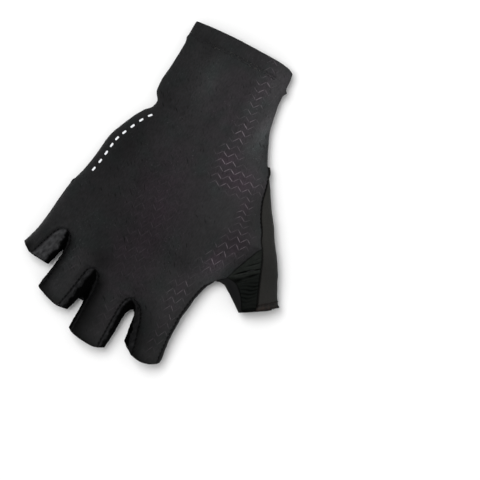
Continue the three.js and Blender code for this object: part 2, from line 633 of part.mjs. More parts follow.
// Stretches of the back fabric that turn under the wrist, up to the seams of the wrist strip
function cuffUndersides(hemBand) {
  const sides = [
    { edge: pinkySide, seam: palmLeftSeam, end: PALM_LEFT_END, flip: false },
    { edge: backEdgeX, seam: palmRight, end: THUMB_SIDE_END, flip: true },
  ];
  return sides.map(({ edge, seam, end, flip }) => {
    const x = (s, y) => {
      const wide = clamp(Math.abs(seam(y) - edge(y)) / NARROW_STRIP);
      return mix(edge(y), seam(y), mix(s, 1 - Math.cos((s * Math.PI) / 2), wide ** 2));
    };
    const cuff = (s) => cuffUnderY(edge, Math.abs(x(s, CUFF_SECTION_Y) - edge(CUFF_SECTION_Y)));
    const rows = hemBand
      ? [cuff, (s) => cuff(s) - HEM_DEPTH]
      : [
        (s) => cuff(s) - HEM_DEPTH,
        (s) => mix(cuff(s) - HEM_DEPTH, FIRST_LEVEL_Y, 0.5),
        ...BACK_ROWS.filter((y) => y > end).map((y) => () => y),
        () => end,
      ];
    return patch(rows, steps(5), (row, s) => {
      const y = row(s);
      const px = x(s, y);
      return [px, y, s === 0 ? SIDE_HEIGHT : underHeight(px, y)];
    }, flip);
  });
}

function cuffHem() {
  const strips = FINGERS.map((finger, k) => {
    const rows = [(s) => backCuffY(k, s), (s) => backCuffY(k, s) - HEM_DEPTH];
    return patch(rows, steps(STRIP_COLUMNS[k]), (row, s) => backPoint(k, s, row(s)), true);
  });
  return clothWall([...strips, ...cuffUndersides(true)], HEM_WALL);
}

function palmPanel() {
  const patches = FINGERS.map((finger, k) => {
    const last = PALM_LAST[k];
    const rows = [TAB_END_Y, PALM_CUFF_Y, ...PALM_ROWS.filter((y) => y >= last)].map((y) => () => y);
    const own = OWN_ROWS.map((t) => (s) => {
      const g = palmAcross(k, s, last);
      const line = (y) => mix(palmStripLeft(k, y), palmStripRight(k, y), g);
      return mix(last, meet(hems[k], line) + PALM_HEM_SETBACK, t);
    });
    return patch([...rows, ...own], steps(STRIP_COLUMNS[k]), (row, s) => palmPoint(k, s, row(s)));
  });
  return clothWall(patches);
}

// The strip between two fingers: down one finger's side, round the web and out along the other
function fourchette(gap) {
  const line = gapLines[gap];
  const branch = (k, edge, f) => {
    const y = (level, setback) => mix(meet(hems[k], line[level][edge]) + setback, line[level].top, f);
    const backY = y("back", 0);
    const sideY = y("side", PALM_HEM_SETBACK / 2);
    const palmY = y("palm", PALM_HEM_SETBACK);
    const palmX = line.palm[edge](palmY);
    return {
      top: backPoint(k, edge === "from" ? 1 : 0, backY),
      side: [line.side[edge](sideY), sideY, SIDE_HEIGHT],
      bottom: [palmX, palmY, underHeight(palmX, palmY)],
    };
  };
  const stations = [
    ...SIDE_STATIONS.map((f) => [gap, "from", f]),
    [gap, "from", 1],
    ...[...SIDE_STATIONS].reverse().map((f) => [gap + 1, "to", f]),
  ];
  const point = ([k, edge, f], v) => {
    const { top, side, bottom } = branch(k, edge, f);
    return threeLines(top, side, bottom, v, { above: WEB_SLACK * f ** 3, below: WEB_SLACK });
  };
  return clothWall([patch(stations, steps(6), point)], SIDE_WALL);
}

// The strip along the outside of the index finger
function indexSidePanel() {
  const ends = {
    back: meet(hems[3], backEdgeX),
    side: meet(hems[3], indexSideX) + PALM_HEM_SETBACK / 2,
    palm: meet(hems[3], palmRight) + PALM_HEM_SETBACK,
  };
  const point = (f, v) => {
    const y = (level) => mix(INDEX_PANEL_START[level], ends[level], f);
    const [backY, sideY, palmY] = [y("back"), y("side"), y("palm")];
    const palmX = palmRight(palmY);
    return threeLines(
      backPoint(3, 1, backY),
      [indexSideX(sideY), sideY, SIDE_HEIGHT],
      [palmX, palmY, underHeight(palmX, palmY)],
      v,
    );
  };
  return clothWall([patch(INDEX_STATIONS, steps(6), point, true)], SIDE_WALL);
}

// The plain outer panel of the thumb, from the seam on the back round to the seam under the hand
function thumbOuterPanel() {
  const point = (f, v) => {
    const y = (level) => mix(THUMB_SIDE_END, thumbHem[level].y, f);
    const [topY, sideY, underY] = [y("top"), y("side"), y("under")];
    const top = [thumbTopX(topY), topY, thumbTopZ(topY)];
    const side = [thumbOuterX(sideY), sideY, SIDE_HEIGHT];
    if (v < 0.5) return threeLines(top, side, side, v);
    const g = 1 - Math.cos((v - 0.5) * Math.PI);
    const px = mix(side[0], thumbUnderX(underY), g);
    const py = mix(side[1], underY, g);
    return [px, py, underHeight(px, py)];
  };
  return clothWall([patch([0, 0.05, ...steps(12).slice(1)], steps(10), point, true)]);
}

// The gathered gusset between the back and the thumb: ruched in pleats that run across it
function thumbGusset() {
  const point = (f, v) => {
    const topY = mix(GUSSET_EDGE[0].y, thumbHem.top.y, f);
    const right = [thumbTopX(topY), topY, thumbTopZ(topY)];
    const left = gussetEdge.map((at) => at(f));
    const arch = Math.sin(v * Math.PI);
    const pleat = Math.sin(f * GUSSET_PLEATS * 2 * Math.PI) * PLEAT_HEIGHT * fade(PLEAT_GROWTH, f);
    return [
      mix(left[0], right[0], v),
      mix(left[1], right[1], v),
      mix(left[2], right[2], v) + arch * (GUSSET_SWELL + pleat),
    ];
  };
  return clothWall([patch(steps(GUSSET_PLEATS * 4), steps(5), point)]);
}

// The inner side of the thumb: flat below, round the web's edge, and up to the gusset
function thumbInnerPanel() {
  const inner = Object.fromEntries(["sideX", "sideY", "topX", "topY", "topZ"].map((key) => [
    key, track(THUMB_INNER, key, "f"),
  ]));
  const hem = thumbHem.under;
  const base = (h) => {
    const y = mix(0, inner.sideY(0), h);
    return [mix(palmRight(y), inner.sideX(0), ease(0.9, 1, h)), y];
  };
  const outerSeam = (f) => [thumbUnderX(hem.y * f), hem.y * f];
  const hemLine = (h) => [mix(hem.x, inner.sideX(1), h), mix(hem.y, inner.sideY(1), h)];
  const side = (f) => [inner.sideX(f), inner.sideY(f)];
  // A patch filled in between its four edges
  const under = (f, h) => [0, 1].map((i) => {
    const corners = mix(mix(base(0)[i], base(1)[i], h), mix(hemLine(0)[i], hemLine(1)[i], h), f);
    return mix(base(h)[i], hemLine(h)[i], f) + mix(outerSeam(f)[i], side(f)[i], h) - corners;
  });
  const point = (f, v) => {
    if (v <= THUMB_UNDER_SHARE) {
      const [x, y] = under(f, Math.sin(((v / THUMB_UNDER_SHARE) * Math.PI) / 2));
      return [x, y, v === THUMB_UNDER_SHARE ? SIDE_HEIGHT : underHeight(x, y)];
    }
    const a = ((v - THUMB_UNDER_SHARE) / (1 - THUMB_UNDER_SHARE)) * (Math.PI / 2);
    const toTop = 1 - Math.cos(a);
    return [
      mix(inner.sideX(f), inner.topX(f), toTop),
      mix(inner.sideY(f), inner.topY(f), toTop),
      mix(SIDE_HEIGHT, inner.topZ(f), Math.sin(a)),
    ];
  };
  const columns = [...steps(7).map((v) => v * THUMB_UNDER_SHARE), 0.8, 0.9, 1];
  return clothWall([patch(THUMB_STATIONS, columns, point, true)]);
}

// A flat piece of cloth between two heights
function flatPiece(outline, low, high) {
  const shape = new THREE.Shape(outline.map(({ x, y }) => new THREE.Vector2(x, y)));
  return new THREE.ExtrudeGeometry(shape, { depth: high - low, bevelEnabled: false }).translate(0, 0, low);
}

// A pad stands on its flat face, chamfered up to its full outline
function pad({ x, y, wide, long, turn, taper }) {
  const [cos, sin] = [Math.cos(radians(turn)), Math.sin(radians(turn))];
  const ring = (inset, z) => Array.from({ length: PAD_SIDES }, (_, i) => {
    const t = (i / PAD_SIDES) * 2 * Math.PI;
    const sideways = (wide - inset) * Math.cos(t) * (1 + taper * Math.sin(t));
    const along = (long - inset) * Math.sin(t);
    return [x + sideways * cos - along * sin, y + sideways * sin + along * cos, z];
  });
  const rings = [ring(PAD_CHAMFER, 0), ring(0, PAD_CHAMFER), ring(0, PAD_THICKNESS)];
  const points = [...rings.flat(), [x, y, 0], [x, y, PAD_THICKNESS]];
  const [low, high] = [points.length - 2, points.length - 1];
  const index = [];
  for (let i = 0; i < PAD_SIDES; i += 1) {
    const j = (i + 1) % PAD_SIDES;
    for (const r of [0, PAD_SIDES]) {
      const up = r + PAD_SIDES;
      index.push(r + i, r + j, up + j, r + i, up + j, up + i);
    }
    index.push(low, j, i, high, 2 * PAD_SIDES + i, 2 * PAD_SIDES + j);
  }
  const geometry = new THREE.BufferGeometry().setFromPoints(points.map((p) => new THREE.Vector3(...p)));
  geometry.setIndex(index);
  geometry.computeVertexNormals();
  return geometry;
}

function tongueOutline({ baseX, baseY, tipX, tipY, half }) {
  const tip = steps(12).map((t) => {
    const a = Math.PI * (1 + t);
    return { x: tipX + half * Math.cos(a), y: tipY + half + half * Math.sin(a) };
  });
  return [{ x: baseX - half, y: baseY }, ...tip, { x: baseX + half, y: baseY }];
}
// The ring finger's tongue is cut back beside the bridge
function ringTongueOutline(tongue) {
  const [top, , , low, apex] = BRIDGE;
  const { beside, along } = BRIDGE_CLEARANCE;
  const kept = tongueOutline(tongue).slice(0, -1).filter(({ x, y }) => y < low.y || x < apex.x);
  return [
    ...kept,
    { x: low.x, y: low.y - along },
    { x: apex.x - along, y: apex.y },
    { x: top.x - beside, y: top.y + along },
    { x: top.x - beside, y: tongue.baseY },
  ];
}

function named(name, geometry, finish) {
  const mesh = new THREE.Mesh(geometry, new THREE.MeshStandardMaterial({ ...finish, metalness: 0 }));
  mesh.name = name;
  return mesh;
}

const glove = new THREE.Group();
glove.add(named("back_panel", backPanel(), COLOURS.back));
glove.add(named("cuff_hem", cuffHem(), COLOURS.back));
glove.add(named("palm_panel", palmPanel(), COLOURS.palm));
GAPS.forEach((gap, i) => glove.add(named(gap.name + "_fourchette", fourchette(i), COLOURS.side)));
glove.add(named("index_side_panel", indexSidePanel(), COLOURS.palm));
glove.add(named("thumb_outer_panel", thumbOuterPanel(), COLOURS.thumb));
glove.add(named("thumb_gusset", thumbGusset(), COLOURS.side));
glove.add(named("thumb_inner_panel", thumbInnerPanel(), COLOURS.palm));
PADS.forEach((p) => glove.add(named(p.name, pad(p), COLOURS.pad)));
const [ringTongue, middleTongue] = TONGUES;
const tabLow = HEM_WALL + LAYER_GAP;
const flatPieces = {
  [ringTongue.name]: flatPiece(ringTongueOutline(ringTongue), 0, TONGUE_THICKNESS),
  [middleTongue.name]: flatPiece(tongueOutline(middleTongue), 0, TONGUE_THICKNESS),
  tab_bridge: flatPiece(BRIDGE, 0, TONGUE_THICKNESS),
  wrist_pull_tab: flatPiece(TAB_LAYER, tabLow, tabLow + TONGUE_THICKNESS),
};
Object.entries(flatPieces).forEach(([name, geometry]) => glove.add(named(name, geometry, COLOURS.palm)));
glove.position.set(-CENTRE_X, -CENTRE_Y, 0);

export default glove;
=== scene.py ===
"""A short-finger sport glove for the right hand, lying palm down: its cloth, stitching, print and pads.

Every panel is a surface worked out in millimetres from seam lines and heights, then given a wall of cloth.
The fingers point to -Y, the thumb to +X and the back of the hand to +Z.
"""

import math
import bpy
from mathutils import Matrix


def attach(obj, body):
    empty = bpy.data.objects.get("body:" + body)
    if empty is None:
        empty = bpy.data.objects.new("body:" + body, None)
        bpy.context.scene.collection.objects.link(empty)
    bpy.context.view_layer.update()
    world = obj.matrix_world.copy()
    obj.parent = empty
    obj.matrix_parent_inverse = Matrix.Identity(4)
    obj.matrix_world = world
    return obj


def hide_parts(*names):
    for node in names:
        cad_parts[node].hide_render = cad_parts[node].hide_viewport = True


bl_info = {
    "name": "Short-finger glove",
    "version": (1, 0, 0),
    "blender": (4, 5, 0),
    "location": "View3D > Sidebar > Glove",
    "description": "Builds the cloth, print, stitching and pads of a short-finger sport glove",
    "category": "Add Mesh",
}

from functools import partial, partialmethod

import bpy
import numpy as np

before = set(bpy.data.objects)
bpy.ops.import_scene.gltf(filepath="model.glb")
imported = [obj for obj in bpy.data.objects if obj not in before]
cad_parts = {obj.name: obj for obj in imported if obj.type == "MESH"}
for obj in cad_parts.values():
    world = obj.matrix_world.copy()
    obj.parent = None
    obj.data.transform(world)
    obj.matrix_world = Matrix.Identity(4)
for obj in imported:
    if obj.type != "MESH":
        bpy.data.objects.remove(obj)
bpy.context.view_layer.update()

# Place of the glove's own origin in the frame, in millimetres
CENTRE = np.array([18.0, -0.2, 0.0])
MM = 0.001
UP, DOWN = (0.0, 0.0, 1.0), (0.0, 0.0, -1.0)

# Sizes in millimetres
SIDE_HEIGHT, CORNER_RADIUS = 5.5, 5.0
PAD_THICKNESS, TONGUE_THICKNESS, LAYER_GAP = 2.6, 1.0, 0.3
HEM_DEPTH, PALM_HEM_SETBACK = 8.5, 0.8
SETBACKS = {"back": 0.0, "side": PALM_HEM_SETBACK / 2, "palm": PALM_HEM_SETBACK}
PALM_CUFF_Y, TAB_END_Y, CUFF_SECTION_Y, FIRST_LEVEL_Y = 86.0, 91.0, 88.0, 72.0
FINGER_MIDDLE_Y, THUMB_SIDE_END, PALM_LEFT_END = -75.0, 40.0, 10.0
CUFF_TURN, NARROW_STRIP = 8.0, 14.0
ROUND_SIDES, EDGE_REACH, RIPPLE_DAMP = 6, 3.0, 2.4
PUCKER_LINE, PUCKER_WIDE = 1.6, 1.2
GROOVE_LINE, GROOVE_WIDE = 1.0, 0.7
# Strength and width of the band of painted shade along every edge of the cloth
EDGE_SHADE, EDGE_SHADE_WIDTH = 0.62, 0.36
OUTLINE_SLACK, WELD_GRID, WELD_SHIFT = 0.03, 0.01, 0.137
CROTCH_STEPS, ROW_GAP = np.array([0.12, 0.3, 0.55, 0.85, 1.25, 1.7]), 0.3
STITCH_INSET, NORMAL_STEP, DARK_LIGHT = 0.4, 1e-3, 0.03
# Heights between which a relief stops pressing in, because the surface there lies on the floor
GUARD_ZONE = (2.2, 0.4)
CUFF_SEAM_START, CUFF_SEAM_END = (80.0, 82.0), (89.5, 88.0)
# Shares of the painted edge shade that hidden seams lose, and strength and width of the painted shade along the
# finger hems and along the side of the ring, middle and index finger
HIDDEN_SEAMS = {"cuff": 0.97, "gusset": 0.85}
FINGER_BORDERS = (-38.0, -12.0, 17.0)
HEM_SHADES, SIDE_SHADES = ((0.3, 0.8), (0.62, 4.5)), ((0.8, 3.2), (0.95, 5.4), (0.5, 3.0))
# Share of the index finger's strip that the cuff's stitches cover, past which they lie hidden in the fold
CUFF_STITCH_END = 0.5


# Numbers and lines
def mix(a, b, t):
    """A value between a and b at the share t."""
    return a + (b - a) * t


def ease(start, end, value):
    """A smooth step from 0 at start to 1 at end: 3 t squared less 2 t cubed."""
    t = np.clip((value - start) / (end - start), 0, 1)
    return t * t * (3 - 2 * t)


def bell(value, width):
    """e to minus the square of the value over the width."""
    return np.exp(-((value / width) ** 2))


def stacked(*parts):
    """Parts of points, such as x, y and z, spread to one shape and put together."""
    return np.stack(np.broadcast_arrays(*parts), -1)


def unit(vectors):
    return vectors / np.maximum(np.linalg.norm(vectors, axis=-1, keepdims=True), 1e-12)


def columns(names, *rows):
    """A table with named columns, one row for each section."""
    return dict(zip(names.split(), np.array(rows, float).T))


def track(table, value, by):
    """A smooth line through a table's rows: a monotone cubic whose slope at a row is the harmonic mean of its sides."""
    order = np.argsort(table[by])
    at, v = table[by][order], table[value][order]
    rise = np.diff(v) / np.diff(at)
    before, after = rise[:-1], rise[1:]
    total = np.where(before + after == 0, 1, before + after)
    inner = np.where(before * after > 0, 2 * before * after / total, 0)
    slope = np.concatenate([rise[:1], inner, rise[-1:]])

    def follow(place):
        q = np.clip(place, at[0], at[-1])
        i = np.clip(np.searchsorted(at, q) - 1, 0, len(at) - 2)
        w = at[i + 1] - at[i]
        t = (q - at[i]) / w
        t2, t3 = t * t, t * t * t
        return (
            (2 * t3 - 3 * t2 + 1) * v[i] + (t3 - 2 * t2 + t) * w * slope[i]
            + (3 * t2 - 2 * t3) * v[i + 1] + (t3 - t2) * w * slope[i + 1]
        )

    return follow


def line(*rows):
    """A smooth line through rows of (place, value)."""
    return track(columns("place value", *rows), "value", "place")


def curve(names, by, *rows):
    """The points whose named parts lie on smooth lines through a table's rows, all but the one that it runs by."""
    table = columns(names, *rows)
    parts = [track(table, name, by) for name in table if name != by]
    return lambda place: stacked(*(part(place) for part in parts))


# Outline seen from above: x at y, from the cuff to the finger hems
THUMB_SEAM_START = (
    (40, 47, 5.5), (36, 49.6, 7), (29, 52, 9.5), (22, 53.4, 11), (13, 57, 12.6), (5, 61.8, 13.6), (1, 63.4, 14),
)
THUMB_HEM = {"top": (79.5, -34.6), "side": (89.3, -26.6), "under": (85.4, -31.0)}
INDEX_SIDE_ENDS = (-30.6, -87)
pinky_side = line(
    (94, -26), (86, -26.5), (80, -26.1), (65, -27), (55, -28), (48, -27.4), (43, -24.6), (39, -25.6), (35.5, -28.8),
    (30, -32), (24, -35), (14, -39), (10, -39.7), (0, -41), (-10, -43), (-20, -46), (-30, -47.5), (-40, -48.6),
    (-50, -50.2), (-57, -52.2), (-62, -54.2),
)
BACK_EDGE = columns(
    "y x z", (94, 35, 5.5), (85, 35.9, 5.5), (75, 36.3, 5.5), (65, 37.5, 5.5), (55, 40, 5.5), (50, 42, 5.5),
    (45, 44.5, 5.5), *THUMB_SEAM_START, (-1.6, 65.3, 14.15), (-2.6, 65.9, 14.2), (-4.2, 64.7, 14), (-8.5, 62.8, 13.3),
    (-13, 60.9, 12.5), (-19, 58.5, 11.2), (-25.6, 56.2, 9.6), (-28, 53.8, 8.6), (-30, 51.7, 7.6), (-32.6, 49.4, 7.4),
    (-36, 47.1, 8), (-40, 45.8, 8.6), (-46, 44.5, 9.2), (-52, 43.5, 9.4), (-60, 42.8, 9.4), (-70, 42.7, 9.2),
    (-78, 43.1, 9), (-87, 43.8, 8.8),
)
back_edge_x, back_edge_z = (track(BACK_EDGE, key, "y") for key in "xz")
index_side_x = line(
    (-30.6, 51.9), (-33, 49.9), (-36, 48.2), (-40, 47), (-46, 45.8), (-52, 44.9), (-60, 44.1), (-70, 44), (-78, 44.6),
    (-83, 45.4), (-87, 45),
)
thumb_outer_x = line(
    (40, 47), (36, 49.8), (28, 55), (20, 60), (13, 65), (5, 70), (-2, 75), (-10, 80), (-18, 84), (-22.5, 86.4),
    (-26.6, 89.3),
)
THUMB_TOP_SEAM = columns(
    "y x z", *THUMB_SEAM_START, (-2, 65.6, 14.2), (-8, 68.8, 14.2), (-14, 71.2, 14), (-21, 73.9, 13.6),
    (-27, 76.3, 13), (-34.6, 79.5, 12.2),
)
thumb_top_x, thumb_top_z = (track(THUMB_TOP_SEAM, key, "y") for key in "xz")
# The thumb's inner side, from the web to the hem: at mid height, and at its seam with the gusset
WEB_SIDE = (
    (0, 52.2, -30.4), (0.1, 53.8, -29.8), (0.22, 56.4, -29.9), (0.4, 60.2, -32.3), (0.7, 65.6, -36.2), (1, 71, -40),
)
web_side = curve("f x y", "f", *WEB_SIDE)
web_top = curve(
    "f x y z", "f", (0, 52, -29.7, 7.7), (0.1, 54, -27.8, 8.7), (0.22, 56.2, -25.7, 9.7), (0.4, 61, -26.1, 10.6),
    (0.7, 67.4, -31, 11.6), (1, 72.2, -38.4, 11),
)
GUSSET_TOP_Y = -2.6
gusset_edge = curve(
    "f x y z", "f", (0, 65.9, -2.6, 14.2), (0.03, 64.7, -4.2, 14), (0.08, 62.8, -8.5, 13.3), (0.15, 60.9, -13, 12.5),
    (0.24, 58.5, -19, 11.2), (0.34, 56.3, -25.4, 9.8), (0.42, 61, -26.1, 10.6), (0.571, 63.1, -27, 10.95),
    (0.748, 67.4, -31, 11.6), (1, 72.2, -38.4, 11),
)
GUSSET_SWELL = 1.8
# Loose folds of the gusset: where each starts and ends, its width and depth, and how far across it begins
GUSSET_LINES = columns(
    "start end wide deep first", (0.3, 0.307, 0.01, 1.3, 0), (0.33, 0.335, 0.006, 0.6, 0.4),
    (0.36, 0.352, 0.005, 0.5, 0.3), (0.24, 0.2, 0.007, 0.7, 0.2), (0.2, 0.12, 0.006, 0.4, 0.4),
)
# Underside seams
palm_left_seam = line(
    (92, -4.5), (80, -3), (70, -3), (60, -1), (55, 0), (48, -1), (41, -6), (33, -14), (24, -23.5), (16, -32.5),
    (10, -39.7),
)
thumb_under_x = line(
    (92, 15.5), (78, 16), (66, 17), (54, 20), (47, 22), (40, 24.6), (29, 31), (20, 38), (9.5, 48), (0, 57.6), (-8, 65),
    (-15.5, 73), (-23, 79.6), (-31, 85.4),
)
thumb_base_x = line(
    (0, 57.6), (-12, 58), (-24, 55.6), (-30.6, 51.4), (-33, 48.4), (-37, 45.2), (-42, 42.6), (-50, 39.8), (-62, 38),
    (-78, 36.6), (-87, 36),
)
INDEX_PANEL_START = {"back": -31.2, "side": -31.8, "palm": -32.0}
WEB_SLACK = 0.8
# Gaps between the fingers: y, start and end of their edges at the top seam, at mid height and at the palm seam, from
# the crotch on. wrist and knuckle are where the line above the gap crosses the cuff and y = 0. rims are the widths
# and lights of the two lit rims of the strip in the gap.
GAPS = (
    {
        "name": "pinky_ring", "rims": ((20, 3.0, 5.2), (0.8, 1.2)), "wrist": -11, "knuckle": -24,
        "back": (
            (-43.5, -35, -35), (-44.6, -38, -32.8), (-47, -40, -31.2), (-51, -41.8, -30.3), (-56, -43.6, -30.2),
            (-64, -46.4, -31), (-72, -49, -31.9), (-80, -51, -33.4),
        ),
        "side": (
            (-55, -32, -32), (-56.4, -32.9, -31.6), (-60, -33.9, -31.9), (-66, -35.6, -32.6), (-72, -37, -33.5),
            (-80, -39, -35.1),
        ),
        "palm": (
            (-53.6, -32, -32), (-55, -34, -30.4), (-60, -35.3, -30.6), (-66, -37, -31.3), (-72, -38, -32),
            (-80, -40, -33.4),
        ),
    },
    {
        "name": "ring_middle", "rims": ((2.7, 0.2, 2.6), (1.5, 0.9)), "wrist": 4, "knuckle": -3,
        "back": (
            (-55.5, -11.5, -11.5), (-56.6, -13.6, -8.8), (-58.6, -14.8, -7.3), (-62, -15.6, -6.3), (-70, -17, -5.8),
            (-84, -19.8, -5.9), (-94, -21.8, -6.1),
        ),
        "side": ((-73, -9.9, -9.9), (-74.2, -11.3, -8.7), (-79, -13, -8.6), (-84, -14.6, -8.8), (-94, -17, -9)),
        "palm": ((-71.6, -9.9, -9.9), (-73, -12.4, -7.6), (-79, -14.4, -7.3), (-84, -16, -7.5), (-94, -18.4, -7.7)),
    },
    {
        "name": "middle_index", "rims": ((1.8, 0.2, 2.3), (3.4, 1.25)), "wrist": 20, "knuckle": 24,
        "back": (
            (-60, 15.5, 15.5), (-61.1, 13.2, 18.6), (-63.5, 11.8, 21.6), (-67, 11, 23.6), (-72, 10.6, 25.4),
            (-80, 10.5, 27.5), (-95, 10.3, 31),
        ),
        "side": (
            (-66, 18.3, 18.3), (-67.2, 16.8, 19.7), (-70, 15.8, 20.4), (-76, 15, 21.1), (-85, 14.5, 22),
            (-95, 13.9, 23),
        ),
        "palm": (
            (-64.6, 18.3, 18.3), (-66, 15.6, 21), (-70, 14.5, 21.7), (-76, 13.7, 22.4), (-85, 13.2, 23.3),
            (-95, 12.6, 24.3),
        ),
    },
)
# Heights of each finger at its hem and knuckle, how round its two sides are, and its hem: y at x
FINGERS = (
    (10.6, 13.6, 0.5, 1.0, line((-54.5, -59.6), (-51, -62.6), (-47, -64.6), (-42, -65.9), (-35, -66.1))),
    (12.4, 16.2, 0.9, 0.9, line((-35.5, -79), (-32, -80.2), (-27, -82), (-20, -83.6), (-14, -83.4))),
    (13.0, 17.0, 0.9, 0.9, line((-9.2, -91.8), (-6, -93), (0, -94), (7, -94.4), (14.5, -92.4))),
    (12.8, 17.0, 0.9, 0.8, line((21.8, -84), (25, -87.3), (30, -89), (35, -89.5), (40, -88.6), (46, -85.4))),
)
hems = [finger[-1] for finger in FINGERS]
hand_crown = line(
    (94, 11), (80, 11.4), (60, 12.6), (43, 14.4), (28, 16.8), (12, 19), (-4, 20), (-20, 20), (-36, 18.6), (-60, 16),
)
cuff_edge = line((-27, 92.4), (-13, 93.5), (0, 94), (25, 93.8), (32, 93), (36, 91.5))
SWELL_POWER = 2.4
HAND_ROUND = {"pinky": 0.5, "wrist": 0.5, "thumb": 0.9, "change": (40, 26)}
KNUCKLE_RISE = (-84, -36)
FINGER_FORM = ((-26, -33, -42, -46, -42), (-48, -50, -61, -66, -66))
SEAM_HEIGHT = {"knuckle": 15.6, "crotch": 11.6, "hem": 10.6, "rise": 22, "fall": 14}
PAD_ZONE = {"hems": (-50, -34), "cuff": (44, 26), "thumb": (78, 60)}
TONGUE_ZONE = {"pinky": (-34.5, -29.5), "index": (20, 14.5), "palm": (-40, -54)}
PALM_SHARES, PALM_SHARE_END = (0.22, 0.47, 0.74), 10.0
BACK_FOLDS = columns(
    "x y turn long wide deep", (16, 60, 88, 26, 3.2, 0.35), (-8, 62, 94, 20, 4, -0.4), (-19, 45, 20, 9, 2.6, 0.9),
    (-21, 38, -28, 9, 3, -0.5), (40, -14, 104, 12, 4, 0.15), (16, 10, 100, 16, 3, 0.4), (42, -50, 0, 4, 1.6, 0.5),
    (33, -30.5, 9, 12, 4.2, -0.8),
)
FOLD_FADE = 0.25
PADS = (
    {"name": "hypothenar_pad", "x": -13.0, "y": 2.0, "wide": 14.0, "long": 21.0, "turn": 4.0, "taper": 0.05},
    {"name": "thenar_pad", "x": 33.4, "y": -6.0, "wide": 16.0, "long": 24.5, "turn": 29.0, "taper": -0.16},
)
PAD_TOP, PAD_FACE, PAD_SEAM = 2.86, 1.5, 1.06
PAD_PRINT = (0.95, 0.86)
# Share of a pad's outline and height, from the middle of its face round the edge to the middle of its back
PAD_PROFILE = (
    (0, 0), (0.55, 0), (0.8, 0.12), (0.9, 0.42), (0.965, 0.95), (1, 1.7), (0.99, 2.35), (0.94, 2.8), (0.5, PAD_TOP),
    (0, PAD_TOP),
)
TONGUES = (
    {
        "name": "ring_pull_tab", "base_x": -21.6, "base_y": -58.0, "tip_x": -24.4, "tip_y": -81.6, "half": 8.4,
        "cut": line((-57, -13.4), (-58.6, -13.4), (-65, -22), (-75, -11.6), (-84, -11.6)),
    },
    {"name": "middle_pull_tab", "base_x": 3.4, "base_y": -59.0, "tip_x": 2.7, "tip_y": -92.2, "half": 9.4, "cut": None},
)
BRIDGE_ENDS = (-58.7, -74.6)
bridge_left, bridge_right = line((-58.7, -12.4), (-65, -21.4), (-74.6, -11.6)), line((-58.7, -6.6), (-74.6, -7))
TAB_LAYER = {"left": -2.4, "right": 18.6, "top": 90.0, "bottom": 79.0, "low": 1.9}

# Where the cloth of the back carries print, a purple tint, and painted light and shade (the light column): soft ovals
BACK_TONES = columns(
    "x y wide long turn print tint light",
    (24.5, 76, 4.5, 19, 4, 0.8, 0.35, 0.05), (25.5, 52, 5, 14, 4, 0.85, 0.4, 0), (26, 33, 6.5, 11, 4, 1, 0.75, 0),
    (35.5, 24.5, 14, 8, 8, 1, 0.95, 0), (47.5, 12, 3.6, 9, 10, 0.85, 0.9, 0), (51.5, -6, 7.2, 10, -20, 0.85, 0.9, 0),
    (46, -19, 6.5, 11, -28, 0.6, 0.7, 0), (36, -46, 5.5, 13, 2, 0.6, 0.5, 0.05), (38, -68, 4.5, 15, 0, 0.3, 0.3, 0),
    (4, -18, 17, 40, 6, 0.1, 0.8, -0.08), (7, -72, 5, 14, 0, 0.12, 0.35, 0), (-25, -56, 6, 8, 0, 0.12, 0.1, 0.12),
    (-3, 64, 9, 15, 0, 0.02, 0, 0.3), (14, 60, 12, 30, 0, 0, 0.35, 0), (37.5, 60, 4.5, 14, -7, 0, 0, 2.5),
    (29, 66, 12, 30, 0, 0, 0.1, 0.45), (40, 24, 20, 34, 0, 0, 0, 0.3), (-29, 12, 10, 40, -14, 0, 0.1, -0.36),
    (-24, 66, 6, 26, 0, 0, 0, -0.15), (3, -84, 16, 9, 0, 0, 0, -0.22), (35, -80, 14, 9, 0, 0, 0, -0.2),
    (-52, -61.5, 3, 5, 50, 0, 0, -0.6), (-24, -83, 12, 2, 0, 0, 0, -0.3), (2, -93.5, 12, 2, 0, 0, 0, -0.3),
    (34, -88.5, 12, 2, 0, 0, 0, -0.25), (51, 6, 7, 16, 0, 0, 0, -0.42), (4, 94, 60, 20, 0, 0, 0, 0.06),
    (34, 86, 9, 14, 0, 0, 0.15, 1.05), (-2, 67, 7, 9, 0, 0, 0, 0.26), (1, -28, 22, 22, 0, 0, 0, -0.32),
    (-47, -51, 9, 14, 0, 0, 0, -0.32), (35, -75, 13, 16, 0, 0, 0, -0.4), (2, -79, 13, 14, 0, 0, 0, -0.28),
    (36, -21, 14, 14, 0, 0, 0, -0.12), (-27, 15, 12, 18, 0, 0, 0, -0.18), (-36, -20, 11, 16, 0, 0, 0, -0.12),
    (49, -22, 5.5, 12, -28, 0, 0, 0.65), (46.5, -31, 9, 7, 0, 0, 0, 0.9), (44, 38, 9, 10, 0, 0, 0, 0.5),
    (-10, -50, 8, 7, 0, 0, 0, -0.4), (-10.5, 3, 7, 15, -25, 0, 0, -0.28), (-16, -36, 13, 13, 0, 0, 0, -0.18),
    (-18, -17, 8, 8, 0, 0, 0, -0.15), (-12, 84, 9, 6, 0, 0, 0, -0.25),
)
PRINT_SHARPNESS = 1.6
